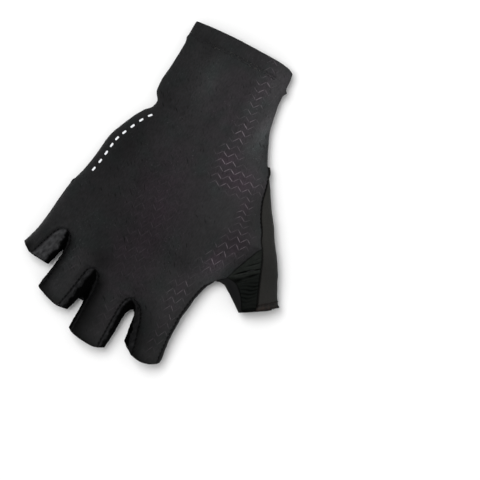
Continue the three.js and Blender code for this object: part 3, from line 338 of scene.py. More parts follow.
# Where the palm carries its gripper print
PALM_TONES = columns(
    "x y wide long turn print tint light", (-9, -39, 15, 3.6, 0, 1, 0, 0), (-10, -47, 30, 6, 0, 1, 0, 0),
    (6, -56, 30, 5, -4, 1, 0, 0), (-43, -60, 7, 11, 0, 0.8, 0, 0), (31, -70, 6, 15, 0, 0.8, 0, 0),
    (8, 70, 16, 30, 0, 0, 0, 0.1),
)
PALM_CREASES = columns(
    "x y turn long wide deep", (9.5, 53, -25, 10, 1.3, 0.55), (3, -57.6, -3, 20, 0.8, 0.5), (48, 6, -40, 9, 2, 0.4),
    (38, 22, 140, 12, 3, 0.3), (-20, 18, 60, 14, 3, 0.25), (10, 24, 85, 18, 4, 0.3),
)
DASHES = {
    "first": 37.0, "last": -6.0, "count": 9, "inset": 4.4, "long": 2.6, "wide": 1.1, "raised": 0.14, "wall": 0.2,
}

gap_lines = [
    {
        level: {
            "top": gap[level][0][0], "x": gap[level][0][1],
            "edges": [line(*[(row[0], row[1 + end]) for row in gap[level]]) for end in (0, 1)],
        }
        for level in SETBACKS
    }
    for gap in GAPS
]
back_above = [line((94, gap["wrist"]), (0, gap["knuckle"]), gap["back"][0][:2]) for gap in GAPS]


# Heights
def palm_left(y):
    return np.where(y > PALM_LEFT_END, palm_left_seam(y), pinky_side(y))


def palm_right(y):
    return np.where(y >= 0, thumb_under_x(y), thumb_base_x(y))


def meet(hem, edge):
    """The row where a finger's hem crosses a line that runs along the finger, closed in on by repeated steps."""
    y = np.asarray(FINGER_MIDDLE_Y)
    for _ in range(8):
        y = hem(edge(y))
    return y


def outline_segments():
    """Starts and steps of short straight pieces along the outline that the underside turns up to."""
    def sample(edge, start, end, count):
        y = np.linspace(start, end, count)
        return stacked(edge(y), y)

    def carry_on(path):
        return np.vstack([path, 2 * path[-1] - path[-2]])

    web = np.array(WEB_SIDE)[:, 1:]
    paths = [
        sample(pinky_side, 100, -98, 160),
        sample(back_edge_x, 100, THUMB_SIDE_END, 40),
        carry_on(sample(thumb_outer_x, THUMB_SIDE_END, THUMB_HEM["side"][1], 60)),
        carry_on(carry_on(web)[::-1]),
        carry_on(sample(index_side_x, *INDEX_SIDE_ENDS, 60)),
    ]
    for gap in gap_lines:
        y = mix(gap["side"]["top"], -98, np.linspace(0, 1, 30) ** 2)
        paths += [stacked(edge(y), y) for edge in gap["side"]["edges"]]
    starts = np.vstack([path[:-1] for path in paths])
    return starts, np.vstack([path[1:] for path in paths]) - starts


SEGMENT_START, SEGMENT_STEP = outline_segments()


def in_chunks(function, points, size):
    """The results of a function that would need too much memory for all points at once."""
    parts = [function(points[i : i + size]) for i in range(0, len(points), size)]
    return [np.concatenate(part) for part in zip(*parts)]


def outline_distance(x, y):
    """Shortest distance from each point to the outline's pieces."""
    length = np.maximum((SEGMENT_STEP**2).sum(-1), 1e-12)

    def nearest(points):
        apart = points[:, None] - SEGMENT_START
        t = np.clip((apart * SEGMENT_STEP).sum(-1) / length, 0, 1)
        return (np.sqrt(((apart - t[..., None] * SEGMENT_STEP) ** 2).sum(-1).min(-1)),)

    return in_chunks(nearest, stacked(np.ravel(x), np.ravel(y)), 4000)[0].reshape(np.shape(x))


def underside(x, y):
    """Points of the underside: lifted over the pads and tongues, and turned up in a round corner at the outline."""
    x, y = np.broadcast_arrays(x, y)
    pads = ease(*PAD_ZONE["hems"], y) * ease(*PAD_ZONE["cuff"], y) * ease(*PAD_ZONE["thumb"], x)
    tongues = ease(*TONGUE_ZONE["pinky"], x) * ease(*TONGUE_ZONE["index"], x) * ease(*TONGUE_ZONE["palm"], y)
    lift = np.maximum((PAD_THICKNESS + LAYER_GAP) * pads, (TONGUE_THICKNESS + LAYER_GAP) * tongues)
    turn = 1 - np.clip((outline_distance(x, y) - OUTLINE_SLACK) / CORNER_RADIUS, 0, 1)
    return stacked(x, y, lift + (SIDE_HEIGHT - lift) * (1 - np.sqrt(1 - turn * turn)))


def swell(g, left, right, crown, round_left, round_right):
    """Height across a strip: straight from edge to edge, plus a crown that falls as (1 - e to a power) to a power."""
    e = np.abs(2 * g - 1)
    top = crown - (left + right) / 2
    return mix(left, right, g) + top * np.maximum(0, 1 - e**SWELL_POWER) ** np.where(g < 0.5, round_left, round_right)


def oval_axes(table, x, y):
    """How far each point is from each row's middle, along its turned axis and beside it."""
    turn = np.radians(table["turn"])
    dx, dy = x[..., None] - table["x"], y[..., None] - table["y"]
    return dx * np.cos(turn) + dy * np.sin(turn), dy * np.cos(turn) - dx * np.sin(turn)


def fold_depth(table, x, y):
    """Depth of soft folds: each is e to minus the squared distances along and across it."""
    along, beside = oval_axes(table, x, y)
    return (table["deep"] * bell(along, table["long"]) * bell(beside, table["wide"])).sum(-1)


def tones(table, points):
    """Print, tint and painted light and shade at each point: the strongest print and tint oval, and the sum of the
    painted light ones.
    """
    along, beside = oval_axes(table, points[:, 0], points[:, 1])
    apart = (along / table["wide"]) ** 2 + (beside / table["long"]) ** 2
    sharp, soft = np.exp(-(apart**PRINT_SHARPNESS)), np.exp(-apart)
    return stacked(
        (sharp * table["print"]).max(-1), (soft * table["tint"]).max(-1), 1 + (soft * table["light"]).sum(-1))


def ripple(points, size, seed, count=14):
    """Smooth unrest: a sum of sine waves of about one wavelength in seeded random directions."""
    rng = np.random.default_rng(seed)
    wave = rng.normal(size=(3, count))
    wave *= 2 * np.pi / (size * rng.uniform(0.7, 1.4, count) * np.linalg.norm(wave, axis=0))
    return np.sin(points @ wave + rng.uniform(0, 2 * np.pi, count)).sum(-1) / math.sqrt(count)


# Surfaces of the hand
def above_gap(level, gap, y):
    """The line between two strips above the gap between their fingers."""
    if level == "back":
        return back_above[gap](y)
    even = mix(palm_left(y), palm_right(y), PALM_SHARES[gap])
    return mix(even, gap_lines[gap]["palm"]["x"], ease(PALM_SHARE_END, gap_lines[gap]["palm"]["top"], y))


OWN_SIDES = {"back": (pinky_side, back_edge_x), "palm": (palm_left, palm_right)}


def border(level, k, side, y):
    """x of a strip's border: the hand's own outline, or else the edge of the gap beside the strip and the line above
    it. side is 0 towards the little finger and 1 towards the thumb."""
    gap = k - 1 + side
    if gap not in range(3):
        return OWN_SIDES[level][side](y)
    found = gap_lines[gap][level]
    return np.where(y >= found["top"], above_gap(level, gap, y), found["edges"][1 - side](y))


def strip_x(level, k, g, y):
    return mix(border(level, k, 0, y), border(level, k, 1, y), g)


def across(k, s):
    """Shares across a strip, closer together at the hand's own outline: one less a cosine, or a sine."""
    if k == 0:
        return 1 - np.cos(s * np.pi / 2)
    return np.sin(s * np.pi / 2) if k == 3 else s


def seam_height(gap, y):
    """Height of the line between two strips: from the knuckle down to the crotch, then on to the hem."""
    top, height = gap_lines[gap]["back"]["top"], SEAM_HEIGHT
    above = mix(height["crotch"], height["knuckle"], ease(top, top + height["rise"], y))
    below = mix(height["crotch"], height["hem"], ease(top, top - height["fall"], y))
    return np.where(y > top, above, below)


def back_point(k, g, y):
    """A point of the back: the hand's swell, turning into each finger's own swell towards the hems, less the folds."""
    x, left, right = strip_x("back", k, g, y), pinky_side(y), back_edge_x(y)
    u = np.clip((x - left) / (right - left), 0, 1)
    thumb_round = mix(HAND_ROUND["wrist"], HAND_ROUND["thumb"], ease(*HAND_ROUND["change"], y))
    hand = swell(u, SIDE_HEIGHT, back_edge_z(y), hand_crown(y), HAND_ROUND["pinky"], thumb_round)
    hem_crown, knuckle_crown, round_left, round_right, _ = FINGERS[k]
    strip = swell(
        g, SIDE_HEIGHT if k == 0 else seam_height(k - 1, y), back_edge_z(y) if k == 3 else seam_height(k, y),
        mix(hem_crown, knuckle_crown, ease(*KNUCKLE_RISE, y)), round_left, round_right,
    )
    inside = np.clip(u / FOLD_FADE, 0, 1) * np.clip((1 - u) / FOLD_FADE, 0, 1)
    zone = [mix(row[k], row[k + 1], g) for row in FINGER_FORM]
    return stacked(x, y, mix(hand, strip, ease(*zone, y)) - fold_depth(BACK_FOLDS, x, y) * inside)


def palm_across(k, s, y):
    """Shares across a palm strip, closer together at its sides."""
    if k > 0:
        return mix(s, (1 - np.cos(s * np.pi)) / 2, 0.5)
    return mix(1 - np.cos(s * np.pi / 2), s, ease(PALM_LEFT_END - 6, PALM_LEFT_END + 6, y))


def cuff_under_y(edge, away):
    """The cuff's edge under the wrist, set back as it leaves the side: the rest of one less the share, squared."""
    return mix(PALM_CUFF_Y, cuff_edge(edge(CUFF_SECTION_Y)), np.clip(1 - away / CUFF_TURN, 0, 1) ** 2)


def back_cuff_y(k, g):
    return cuff_edge(strip_x("back", k, g, CUFF_SECTION_Y))


def three_lines(top, side, bottom, v, above=0.0, below=0.0):
    """A surface through three lines: a quarter wave from the top seam to the side, and one on to the palm seam.
    above and below make each stretch straighter."""
    upper = (v < 0.5)[..., None]
    a = (np.where(v < 0.5, v, 1 - v) * np.pi)[..., None]
    end = np.where(upper, top, bottom)
    straight = np.where(upper, above, below)
    level = mix(np.sin(a), 2 * a / np.pi, straight)
    fall = mix(1 - np.cos(a), 2 * a / np.pi, straight)
    return np.concatenate([mix(end[..., :2], side[..., :2], level), mix(end[..., 2:], side[..., 2:], fall)], -1)


# Cloth
def arc_lengths(grid):
    """Length along each row of a grid, from its first column."""
    step = np.linalg.norm(np.diff(grid, axis=1), axis=-1)
    return np.concatenate([np.zeros((len(grid), 1)), np.cumsum(step, 1)], 1)


def plain_uv(grid):
    """Lengths along the rows and down the first column, in millimetres."""
    return stacked(arc_lengths(grid), arc_lengths(grid[:, :1].swapaxes(0, 1)).T)


def weld(patches):
    """Joins grids of points, each (points, uv, flip), where they meet. Returns points, uv and triangles."""
    points, uvs, quads, base = [], [], [], 0
    for grid, uv, flip in patches:
        ids = np.arange(grid.shape[0] * grid.shape[1]).reshape(grid.shape[:2]) + base
        quad = stacked(ids[:-1, :-1], ids[:-1, 1:], ids[1:, 1:], ids[1:, :-1]).reshape(-1, 4)
        quads.append(quad[:, ::-1] if flip else quad)
        points.append(grid.reshape(-1, 3))
        uvs.append(uv.reshape(-1, uv.shape[-1]))
        base += ids.size
    points = np.concatenate(points)
    key = np.round(points / WELD_GRID + WELD_SHIFT).astype(np.int64)
    _, first, back = np.unique(key, axis=0, return_index=True, return_inverse=True)
    tris = back.reshape(-1)[np.concatenate(quads)[:, [0, 1, 2, 0, 2, 3]].reshape(-1, 3)]
    good = (tris[:, 0] != tris[:, 1]) & (tris[:, 1] != tris[:, 2]) & (tris[:, 2] != tris[:, 0])
    return points[first], np.concatenate(uvs)[first], tris[good]


def point_normals(points, tris):
    """Unit normals: the sum of the cross products of the triangles round each point."""
    a, b, c = (points[tris[:, i]] for i in range(3))
    total = np.zeros_like(points)
    for i in range(3):
        np.add.at(total, tris[:, i], np.cross(b - a, c - a))
    return unit(total)


def rim_edges(tris, count):
    """Edges that only one triangle uses, in its direction."""
    edges = np.concatenate([tris[:, [0, 1]], tris[:, [1, 2]], tris[:, [2, 0]]])
    code, reverse = edges[:, 0] * count + edges[:, 1], edges[:, 1] * count + edges[:, 0]
    return edges[~np.isin(code, reverse)]


def nearest_rim(points, rim_points):
    """For each point, the nearest point of the rim and its distance."""
    def nearest(some):
        apart = np.linalg.norm(some[:, None] - rim_points, axis=-1)
        return apart.argmin(1), apart.min(1)

    return in_chunks(nearest, points, 3000)


def seam_dark(points):
    """How much painted shade a seam's edge gets: little at the cuff and round the gusset's upper half, where the seams
    lie hidden.
    """
    x, y = points[:, 0], points[:, 1]
    thumb_seam = ease(62, 66, x) * ease(-12, -16, y)
    gusset = ease(48, 51, x) * ease(-29, -25, y) * ease(3, 0, y) * (1 - thumb_seam)
    return (1 - HIDDEN_SEAMS["cuff"] * ease(*CUFF_SEAM_START, y)) * (1 - HIDDEN_SEAMS["gusset"] * gusset)


def cloth(name, patches, wall, overlap, tone, relief=None, pucker=0.0, groove=0.0, roll=None):
    """A wall of cloth with half-round edges: the outer surface, moved by its relief and a small pucker along its seams,
    a copy set in by the wall, and rings of a half circle between them. The edge runs past the seam line by overlap,
    so that neighbours close on each other. groove is the depth of the channel that a seam's stitches lie in, and roll
    a relief that reaches the edge itself. A third column of a patch's uv is painted shade that darkens or lightens its
    cloth, and a band of painted shade runs along every edge."""
    points, uv, tris = weld(patches)
    count, radius = len(points), wall / 2
    normals = point_normals(points, tris)
    rim = rim_edges(tris, count)
    ids = np.unique(rim)
    inward = np.zeros((count, 3))
    for end in (0, 1):
        np.add.at(inward, rim[:, end], unit(np.cross(normals[rim[:, end]], points[rim[:, 1]] - points[rim[:, 0]])))
    inward = unit(inward[ids])
    near, away = nearest_rim(points, points[ids])
    flush = ease(*CUFF_SEAM_START, points[:, 1]) * ease(*CUFF_SEAM_END, points[:, 1])
    lift = relief(points) * (1 - bell(away, RIPPLE_DAMP)) if relief else np.zeros(count)
    if pucker:
        pinch = pucker * (1 - 0.75 * flush) * bell(away - PUCKER_LINE, PUCKER_WIDE)
        lift = lift - pinch * (0.5 + 0.5 * ripple(points[ids], 3.2, 7)[near])
    if roll:
        lift = lift + roll(points)
    lift = lift - groove * bell(away - GROOVE_LINE, GROOVE_WIDE)
    overlap = mix(overlap, radius, flush)
    shift = inward[near] * ((radius - overlap) * np.clip(1 - away / EDGE_REACH, 0, 1) ** 2)[:, None]
    outer = points + normals * lift[:, None] + shift
    middle = outer[ids] - normals[ids] * radius
    turns = np.pi * np.arange(1, ROUND_SIDES) / ROUND_SIDES
    rings = [middle + radius * (math.cos(turn) * normals[ids] - math.sin(turn) * inward) for turn in turns]
    between = [2 * count + j * len(ids) + np.arange(len(ids)) for j in range(ROUND_SIDES - 1)]
    layers = [ids, *between, count + ids]
    a, b = np.searchsorted(ids, rim[:, 0]), np.searchsorted(ids, rim[:, 1])
    edge = [
        face for up, low in zip(layers[:-1], layers[1:])
        for face in (stacked(up[b], up[a], low[a]), stacked(up[b], low[a], low[b]))
    ]
    faces = np.concatenate([tris, *edge, tris[:, ::-1] + count])
    part = np.zeros(len(faces), np.int32)
    part[-len(tris) :] = 1
    from_rim = np.concatenate([np.arange(count), np.arange(count), *[ids] * (ROUND_SIDES - 1)])
    shades = tone(points) * 1.0
    # Painted shade in a band along every edge, where the cloth dips into its seams and hems.
    shades[:, 2] *= 1 - EDGE_SHADE * seam_dark(points) * bell(away, EDGE_SHADE_WIDTH)
    if uv.shape[1] > 2:
        shades[:, 2] *= uv[:, 2]
    every = np.concatenate([outer, outer - normals * wall, *rings])
    return add_mesh(name, every, faces, uv[from_rim, :2], shades[from_rim], part)


def tube_faces(rings, sides):
    """Triangles of a closed tube whose points are its rings in order, then the two points that its ends meet in."""
    ids = np.arange(rings * sides).reshape(rings, sides)
    after = np.roll(ids, -1, 1)
    a, b, c, d = ids[:-1], after[:-1], after[1:], ids[1:]
    return np.concatenate([
        stacked(a, b, c).reshape(-1, 3), stacked(a, c, d).reshape(-1, 3), stacked(rings * sides, after[0], ids[0]),
        stacked(rings * sides + 1, ids[-1], after[-1]),
    ])


def add_mesh(name, points, tris, uv, tone, part=None):
    """A smooth mesh object of triangles in the frame's metres, with its cloth UV in millimetres and its tones."""
    mesh = bpy.data.meshes.new(name)
    mesh.vertices.add(len(points))
    mesh.loops.add(tris.size)
    mesh.polygons.add(len(tris))
    mesh.vertices.foreach_set("co", ((points - CENTRE) * MM).astype(np.float32).ravel())
    mesh.loops.foreach_set("vertex_index", tris.astype(np.int32).ravel())
    mesh.polygons.foreach_set("loop_start", np.arange(0, tris.size, 3, dtype=np.int32))
    mesh.polygons.foreach_set("use_smooth", np.ones(len(tris), bool))
    if part is not None:
        mesh.polygons.foreach_set("material_index", part)
    mesh.update(calc_edges=True)
    mesh.uv_layers.new(name="cloth").data.foreach_set("uv", uv[tris].astype(np.float32).ravel())
    mesh.attributes.new("tone", "FLOAT_VECTOR", "POINT").data.foreach_set("vector", tone.astype(np.float32).ravel())
    made = bpy.data.objects.new(name, mesh)
    bpy.context.scene.collection.objects.link(made)
    return made


def even_tone(points, printed=0.0, light=1.0):
    return np.tile([printed, 0.0, light], (len(points), 1))


def side_tone(points):
    """Sides that turn away from the light: dark below the back's seam, full on the underside."""
    return even_tone(points) * (1 - 0.72 * ease(2.5, 6, points[:, 2]))[:, None]


def guarded(relief):
    """A relief that is kept off the surface that the glove lies on: there it only lifts."""
    def lift(points):
        value = relief(points)
        return mix(value, -np.abs(value), ease(*GUARD_ZONE, points[:, 2]))

    return lift


def spaced(stops, step, crotches):
    """Rows from stop to stop at about one step, with closer ones just past each crotch."""
    fixed = np.round(np.concatenate([stops, *[crotch - CROTCH_STEPS for crotch in crotches]]), 6)
    between = [np.linspace(a, b, max(1, math.ceil(abs(b - a) / step)) + 1) for a, b in zip(stops[:-1], stops[1:])]
    rows = np.unique(np.round(np.concatenate([*between, fixed]), 6))[::-1]
    apart = np.abs(rows[:, None] - fixed).min(1)
    return rows[(apart == 0) | (apart >= ROW_GAP)]


BACK_LAST = (-43.5, -55.5, -60.0, -60.0)
BACK_ROWS = spaced((FIRST_LEVEL_Y, THUMB_SIDE_END, PALM_LEFT_END, *BACK_LAST[:3]), 1.15, BACK_LAST[:2])
BACK_COLUMNS = (40, 26, 28, 44)
PALM_LAST = (-53.6, -71.6, -71.6, -64.6)
PALM_ROWS = spaced((TAB_END_Y, PALM_CUFF_Y, -53.6, -64.6, -71.6), 1.3, (-53.6, -64.6))
PALM_COLUMNS = (26, 22, 22, 30)
OWN_ROWS = (np.linspace(0, 1, 34) ** 1.3)[1:]
HEM_ROWS = np.linspace(0, 1, 10)


def finger_rows(rows, last, end):
    """The shared rows down to the last one, then a finger's own rows down to its hem."""
    return [*[np.full_like(end, y) for y in rows if y >= last], *[mix(last, end, t) for t in OWN_ROWS]]


def strip_uv(k, grid):
    """Cloth coordinates of a strip of the back: the length across it, measured from the line to its neighbour."""
    arc, x = arc_lengths(grid), grid[..., 0]
    if k == 0:
        u = x[:, -1:] - (arc[:, -1:] - arc)
    elif k == 3:
        u = x[:, :1] + arc
    else:
        u = mix(x[:, :1], x[:, -1:], arc / arc[:, -1:])
    return stacked(u, grid[..., 1])


def back_strips(rows_of):
    """Grids of the four strips of the back, from rows_of(k, g), which gives each strip's rows."""
    made = []
    for k, count in enumerate(BACK_COLUMNS):
        g = across(k, np.linspace(0, 1, count + 1))
        y = rows_of(k, g)
        grid = back_point(k, np.broadcast_to(g, y.shape), y)
        made.append((grid, strip_uv(k, grid), True))
    return made


def back_panel_rows(k, g):
    top = [mix(back_cuff_y(k, g) - HEM_DEPTH, FIRST_LEVEL_Y, t) for t in HEM_ROWS[:-1]]
    end = meet(hems[k], lambda y: strip_x("back", k, g, y))
    return np.array([*top, *finger_rows(BACK_ROWS, BACK_LAST[k], end)])


def hem_rows(k, g):
    return np.array([back_cuff_y(k, g) - HEM_DEPTH * t for t in HEM_ROWS])


def cuff_undersides(hem_band, strips):
    """The stretches of the back's cloth that turn under the wrist, up to the seams of the wrist strip."""
    sides = (
        (pinky_side, palm_left_seam, PALM_LEFT_END, strips[0][1][:, 0, 0], -1, False),
        (back_edge_x, palm_right, THUMB_SIDE_END, strips[3][1][:, -1, 0], 1, True),
    )
    made = []
    s = np.linspace(0, 1, 27)
    for edge, seam, end, edge_u, way, flip in sides:
        def x_at(y):
            wide = np.clip(np.abs(seam(y) - edge(y)) / NARROW_STRIP, 0, 1)
            return mix(edge(y), seam(y), mix(s, 1 - np.cos(s * np.pi / 2), wide**2))

        section = np.full_like(s, CUFF_SECTION_Y)
        cuff = cuff_under_y(edge, np.abs(x_at(section) - edge(section)))
        if hem_band:
            y = np.array([cuff - HEM_DEPTH * t for t in HEM_ROWS])
        else:
            top = [mix(cuff - HEM_DEPTH, FIRST_LEVEL_Y, t) for t in HEM_ROWS[:-1]]
            y = np.array([*top, *[np.full_like(s, row) for row in BACK_ROWS if row >= end]])
        grid = underside(np.array([x_at(row) for row in y]), y)
        grid[:, 0, 2] = SIDE_HEIGHT
        u = edge_u[: len(y), None] + way * arc_lengths(grid)
        made.append((grid, stacked(u, y), flip))
    return made


def back_relief(points):
    """Unrest of the knit: long soft waves along the hand and small ones across it."""
    return 0.13 * ripple(points * [1, 0.45, 1], 9, 11) + 0.05 * ripple(points, 4.5, 12)


def hem_relief(points):
    return 0.08 * ripple(points * [1, 0.3, 1], 2.6, 21) + 0.12 * ripple(points, 9, 22)


def back_roll(points):
    """The cloth bulges at both ends of the cuff's seam, just below it."""
    x, y = points[:, 0], points[:, 1]
    return 1.5 * bell(y - 80.6, 1.2) * ease(33, 35.5, x) + 0.7 * bell(y - 82.4, 1.3) * ease(-23, -25.5, x)


def finger_shade(points):
    """Painted shade of the fingers' cloth: darker along the hems, and along each side that faces the little finger."""
    x, y = points[:, 0], points[:, 1]
    k = np.searchsorted(FINGER_BORDERS, x)
    away = y - np.choose(k, [hem(x) for hem in hems])
    hem = sum(deep * bell(away, wide) for deep, wide in HEM_SHADES) * ease(-50, -56, y)
    side = 0 * x
    for finger, gap, (deep, wide) in zip((1, 2, 3), gap_lines, SIDE_SHADES):
        top = gap["back"]["top"]
        inside = bell(x - gap["back"]["edges"][1](y), wide) * ease(top + 1, top - 7, y)
        side = np.where(k == finger, deep * inside, side)
    return (1 - hem) * (1 - side)


def back_tone(points):
    tone = tones(BACK_TONES, points)
    # The fingers' painted shade darkens the ovals' painted light and shade.
    tone[:, 2] *= finger_shade(points)
    return tone


# Materials
class Signal:
    """An output in a material's node tree. Arithmetic on it adds Math nodes."""

    def __init__(self, shade, socket):
        self.shade, self.socket = shade, socket

    def math(self, operation, *others, turned=False):
        """A Math node on this and others, or with turned on others and this."""
        values = (*others, self) if turned else (self, *others)
        return self.shade.node("ShaderNodeMath", {"operation": operation}, dict(enumerate(values)))["Value"]

    __add__ = __radd__ = partialmethod(math, "ADD")
    __mul__ = __rmul__ = partialmethod(math, "MULTIPLY")
    __sub__ = partialmethod(math, "SUBTRACT")
    __rsub__ = partialmethod(math, "SUBTRACT", turned=True)
    __truediv__ = partialmethod(math, "DIVIDE")
    __abs__ = partialmethod(math, "ABSOLUTE")
    power = partialmethod(math, "POWER")
    minimum = partialmethod(math, "MINIMUM")
    maximum = partialmethod(math, "MAXIMUM")
    fraction = partialmethod(math, "FRACT")
    floor = partialmethod(math, "FLOOR")
    sign = partialmethod(math, "SIGN")

    def wave(self):
        """A sine of this many turns, between 0 and 1."""
        return (self * (2 * math.pi)).math("SINE") * 0.5 + 0.5

    def limited(self):
        return self.minimum(1.0).maximum(0.0)


class Shade:
    """A material's node tree, with one method that adds any node."""

    def __init__(self, name):
        self.material = bpy.data.materials.new(name)
        self.material.use_nodes = True
        self.tree = self.material.node_tree
        self.tree.nodes.clear()

    def node(self, kind, settings=None, sockets=None):
        """Adds a node of a kind, makes its settings, and sets or links its sockets. Gives its outputs by name and by
        place. A colour is three numbers."""
        made = self.tree.nodes.new(kind)
        for key, value in (settings or {}).items():
            setattr(made, key, value)
        for key, value in (sockets or {}).items():
            socket = made.inputs[key]
            if isinstance(value, Signal):
                self.tree.links.new(value.socket, socket)
            else:
                socket.default_value = (*value, 1.0) if socket.type == "RGBA" else value
        return {key: Signal(self, out) for i, out in reversed(list(enumerate(made.outputs))) for key in (i, out.name)}

    def blend(self, a, b, factor, how="MIX"):
        """A colour between a and b."""
        settings = {"data_type": "RGBA", "blend_type": how, "clamp_factor": True}
        return self.node("ShaderNodeMix", settings, {0: factor, 6: a, 7: b})[2]

    def times(self, colour, tone):
        """A colour made lighter or darker."""
        return self.blend(colour, tone, 1.0, "MULTIPLY")

    def split(self, vector):
        parts = self.node("ShaderNodeSeparateXYZ", None, {0: vector})
        return parts["X"], parts["Y"], parts["Z"]

    def places(self):
        """Object coordinates in millimetres, as a vector and as x, y and z of the glove."""
        sockets = {0: self.node("ShaderNodeTexCoord")["Object"], "Scale": 1 / MM}
        scaled = self.node("ShaderNodeVectorMath", {"operation": "SCALE"}, sockets)["Vector"]
        x, y, z = self.split(scaled)
        return scaled, x + CENTRE[0], y + CENTRE[1], z

    def cloth_uv(self):
        return self.split(self.node("ShaderNodeUVMap", {"uv_map": "cloth"})["UV"])[:2]

    # The tone attribute: print, tint, and painted light and shade that multiplies the colour.
    def tones(self):
        return self.split(self.node("ShaderNodeAttribute", {"attribute_name": "tone"})["Vector"])

    def noise(self, vector, size, detail=2.0, gain=1.0):
        """Noise of about one feature size in millimetres. gain spreads its values about a half."""
        sockets = {"Vector": vector, "Scale": 1 / size, "Detail": detail}
        value = self.node("ShaderNodeTexNoise", {"noise_dimensions": "3D"}, sockets)["Fac"]
        return value if gain == 1 else ((value - 0.5) * gain + 0.5).limited()

    def patches(self, vector, size, start, slope):
        """Noise that is 0 below a start and climbs to 1, or the other way round with a slope below 0."""
        return ((self.noise(vector, size, 1) - start) * slope).limited()

    def drawn_out(self, u, v, ratio):
        """Cloth coordinates whose noise is drawn out along v."""
        return self.node("ShaderNodeCombineXYZ", None, {"X": u, "Y": v * ratio})["Vector"]

    def finish(self, colour, roughness, height, distance, **fixed):
        """Ends the tree in a principled surface with a bump from a height of 0 to 1 that stands for a distance in
        millimetres. fixed are values that are the same all over."""
        bump = self.node("ShaderNodeBump", None, {"Height": height, "Distance": distance * MM})["Normal"]
        sockets = {"Base Color": colour, "Roughness": roughness, "Normal": bump}
        sockets.update({key.replace("_", " "): value for key, value in fixed.items()})
        surface = self.node("ShaderNodeBsdfPrincipled", None, sockets)["BSDF"]
        self.node("ShaderNodeOutputMaterial", None, {"Surface": surface})
        return self.material


def zigzag(shade, u, v, period, tall, pitch, thick, long_leg=0.5):
    """Rows of a printed zigzag line. A triangle wave of u, whose long leg takes a share of the period, moves v, and
    what is left of v over the pitch gives the line. Each leg has its own strength, and stops short of its turns."""
    phase = u / period
    place = phase.fraction()
    rising = (long_leg - place).sign() * 0.5 + 0.5
    swing = (place / long_leg).minimum((1 - place) / (1 - long_leg))
    height = (v - swing * tall) / pitch
    row = height.floor()
    half = period * (rising * long_leg + (1 - rising) * (1 - long_leg))
    slant = half / (half * half + tall * tall).power(0.5)
    distance = abs(height - row - 0.5) * pitch * slant
    stroke = ((thick / 2 - distance) / (thick * 0.35) + 0.5).limited()
    cell = shade.node("ShaderNodeCombineXYZ", None, {"X": phase.floor() * 2 + rising, "Y": row})["Vector"]
    leg = shade.node("ShaderNodeTexWhiteNoise", {"noise_dimensions": "3D"}, {"Vector": cell})["Value"]
    middle = swing * (1 - swing)
    return stroke * (middle * 14 - 0.4).limited() * (0.5 + 2 * middle) * (0.22 + 0.78 * leg) * (1 - 0.22 * rising)


def knit(u, v, wale, course):
    """Height of a fine knit: columns of V-shaped loops. Each column is a parabola across, and its loops are a sine
    that is slanted by the distance from the column's middle."""
    side = abs((u / wale).fraction() - 0.5)
    return (1 - side * side * 4) * (0.45 + 0.55 * (v / course + side * 1.3).wave())


def knit_material(shade, look):
    """Charcoal knit with a tint, faint dark flecks, and a thin pale zigzag where the tones ask for it."""
    vector = shade.places()[0]
    u, v = shade.cloth_uv()
    printed, tint, light = shade.tones()
    wander = (shade.noise(vector, 24, 1) - 0.5) * 2.0
    low = ((12 - v) / 20).limited()
    tilt = 0.22 + 0.13 * low
    across_u, along_v = u + v * tilt + wander * 0.4, v - u * tilt + wander
    mark = zigzag(shade, across_u, along_v, 6.5, 2.9 + 1.0 * low, 4.4 + 0.8 * low, 0.38, 0.52 + 0.13 * low) * printed
    mark = mark * (0.55 + 0.45 * shade.patches(vector, 0.9, 0.42, 6) * shade.patches(vector, 8, 0.3, 3))
    cloud = shade.noise(vector, 7, 3, 1.5)
    grain = shade.noise(vector, 1.1, 2, 2.2)
    yarn = shade.noise(shade.drawn_out(u, v, 0.3), 0.8, 1, 2.2)
    fleck = shade.patches(vector, 0.7, 0.68, 10) * shade.patches(vector, 14, 0.42, 6)
    creases = shade.drawn_out(u * 0.77 + v * 0.64, u * 0.64 - v * 0.77, 0.2)
    tick = shade.patches(creases, 1.0, 0.36, -11) * shade.patches(vector, 16, 0.42, 8)
    body = shade.blend(look.knit, look.knit_tint, tint * (0.5 + cloud))
    cool = ((shade.noise(vector, 13, 2) - 0.48) * 5).limited() * (1 - tint).limited()
    body = shade.blend(body, look.knit_cool, cool)
    tone = light * (0.45 + 0.34 * cloud + 0.36 * grain + 0.42 * yarn + 2.2 * fleck) * (1 - 0.8 * tick)
    return shade.finish(
        shade.blend(shade.times(body, tone), look.knit_mark, mark), 0.62 - 0.15 * mark + (grain - 0.5) * 0.2,
        knit(u, v, 0.62, 0.5) + mark * 0.8 + grain * 0.5 + yarn * 0.3, 0.06,
        Specular_IOR_Level=0.08, Sheen_Weight=look.sheen, Sheen_Roughness=0.45, Sheen_Tint=(0.9, 0.9, 0.95),
    )


def plain_cloth(shade, colour, second, sheen, wale=0.5, size=6.0, depth=0.05, spread=0.3, gloss=0.1):
    """Plain cloth with a fine knit, soft clouds of a second colour and a light grain."""
    vector = shade.places()[0]
    u, v = shade.cloth_uv()
    _, tint, light = shade.tones()
    cloud = shade.noise(vector, size, 3, 1.4)
    grain = shade.noise(vector, 0.9, 2, 2.2)
    body = shade.blend(colour, second, tint * (0.4 + 0.9 * cloud))
    return shade.finish(
        shade.times(body, light * (0.92 - spread / 2 + spread * cloud + 0.2 * grain)), 0.85 - 0.12 * grain,
        knit(u, v, wale, wale * 0.8) + grain * 0.6, depth,
        Specular_IOR_Level=gloss, Sheen_Weight=sheen, Sheen_Roughness=0.5, Sheen_Tint=(0.9, 0.9, 0.92),
    )


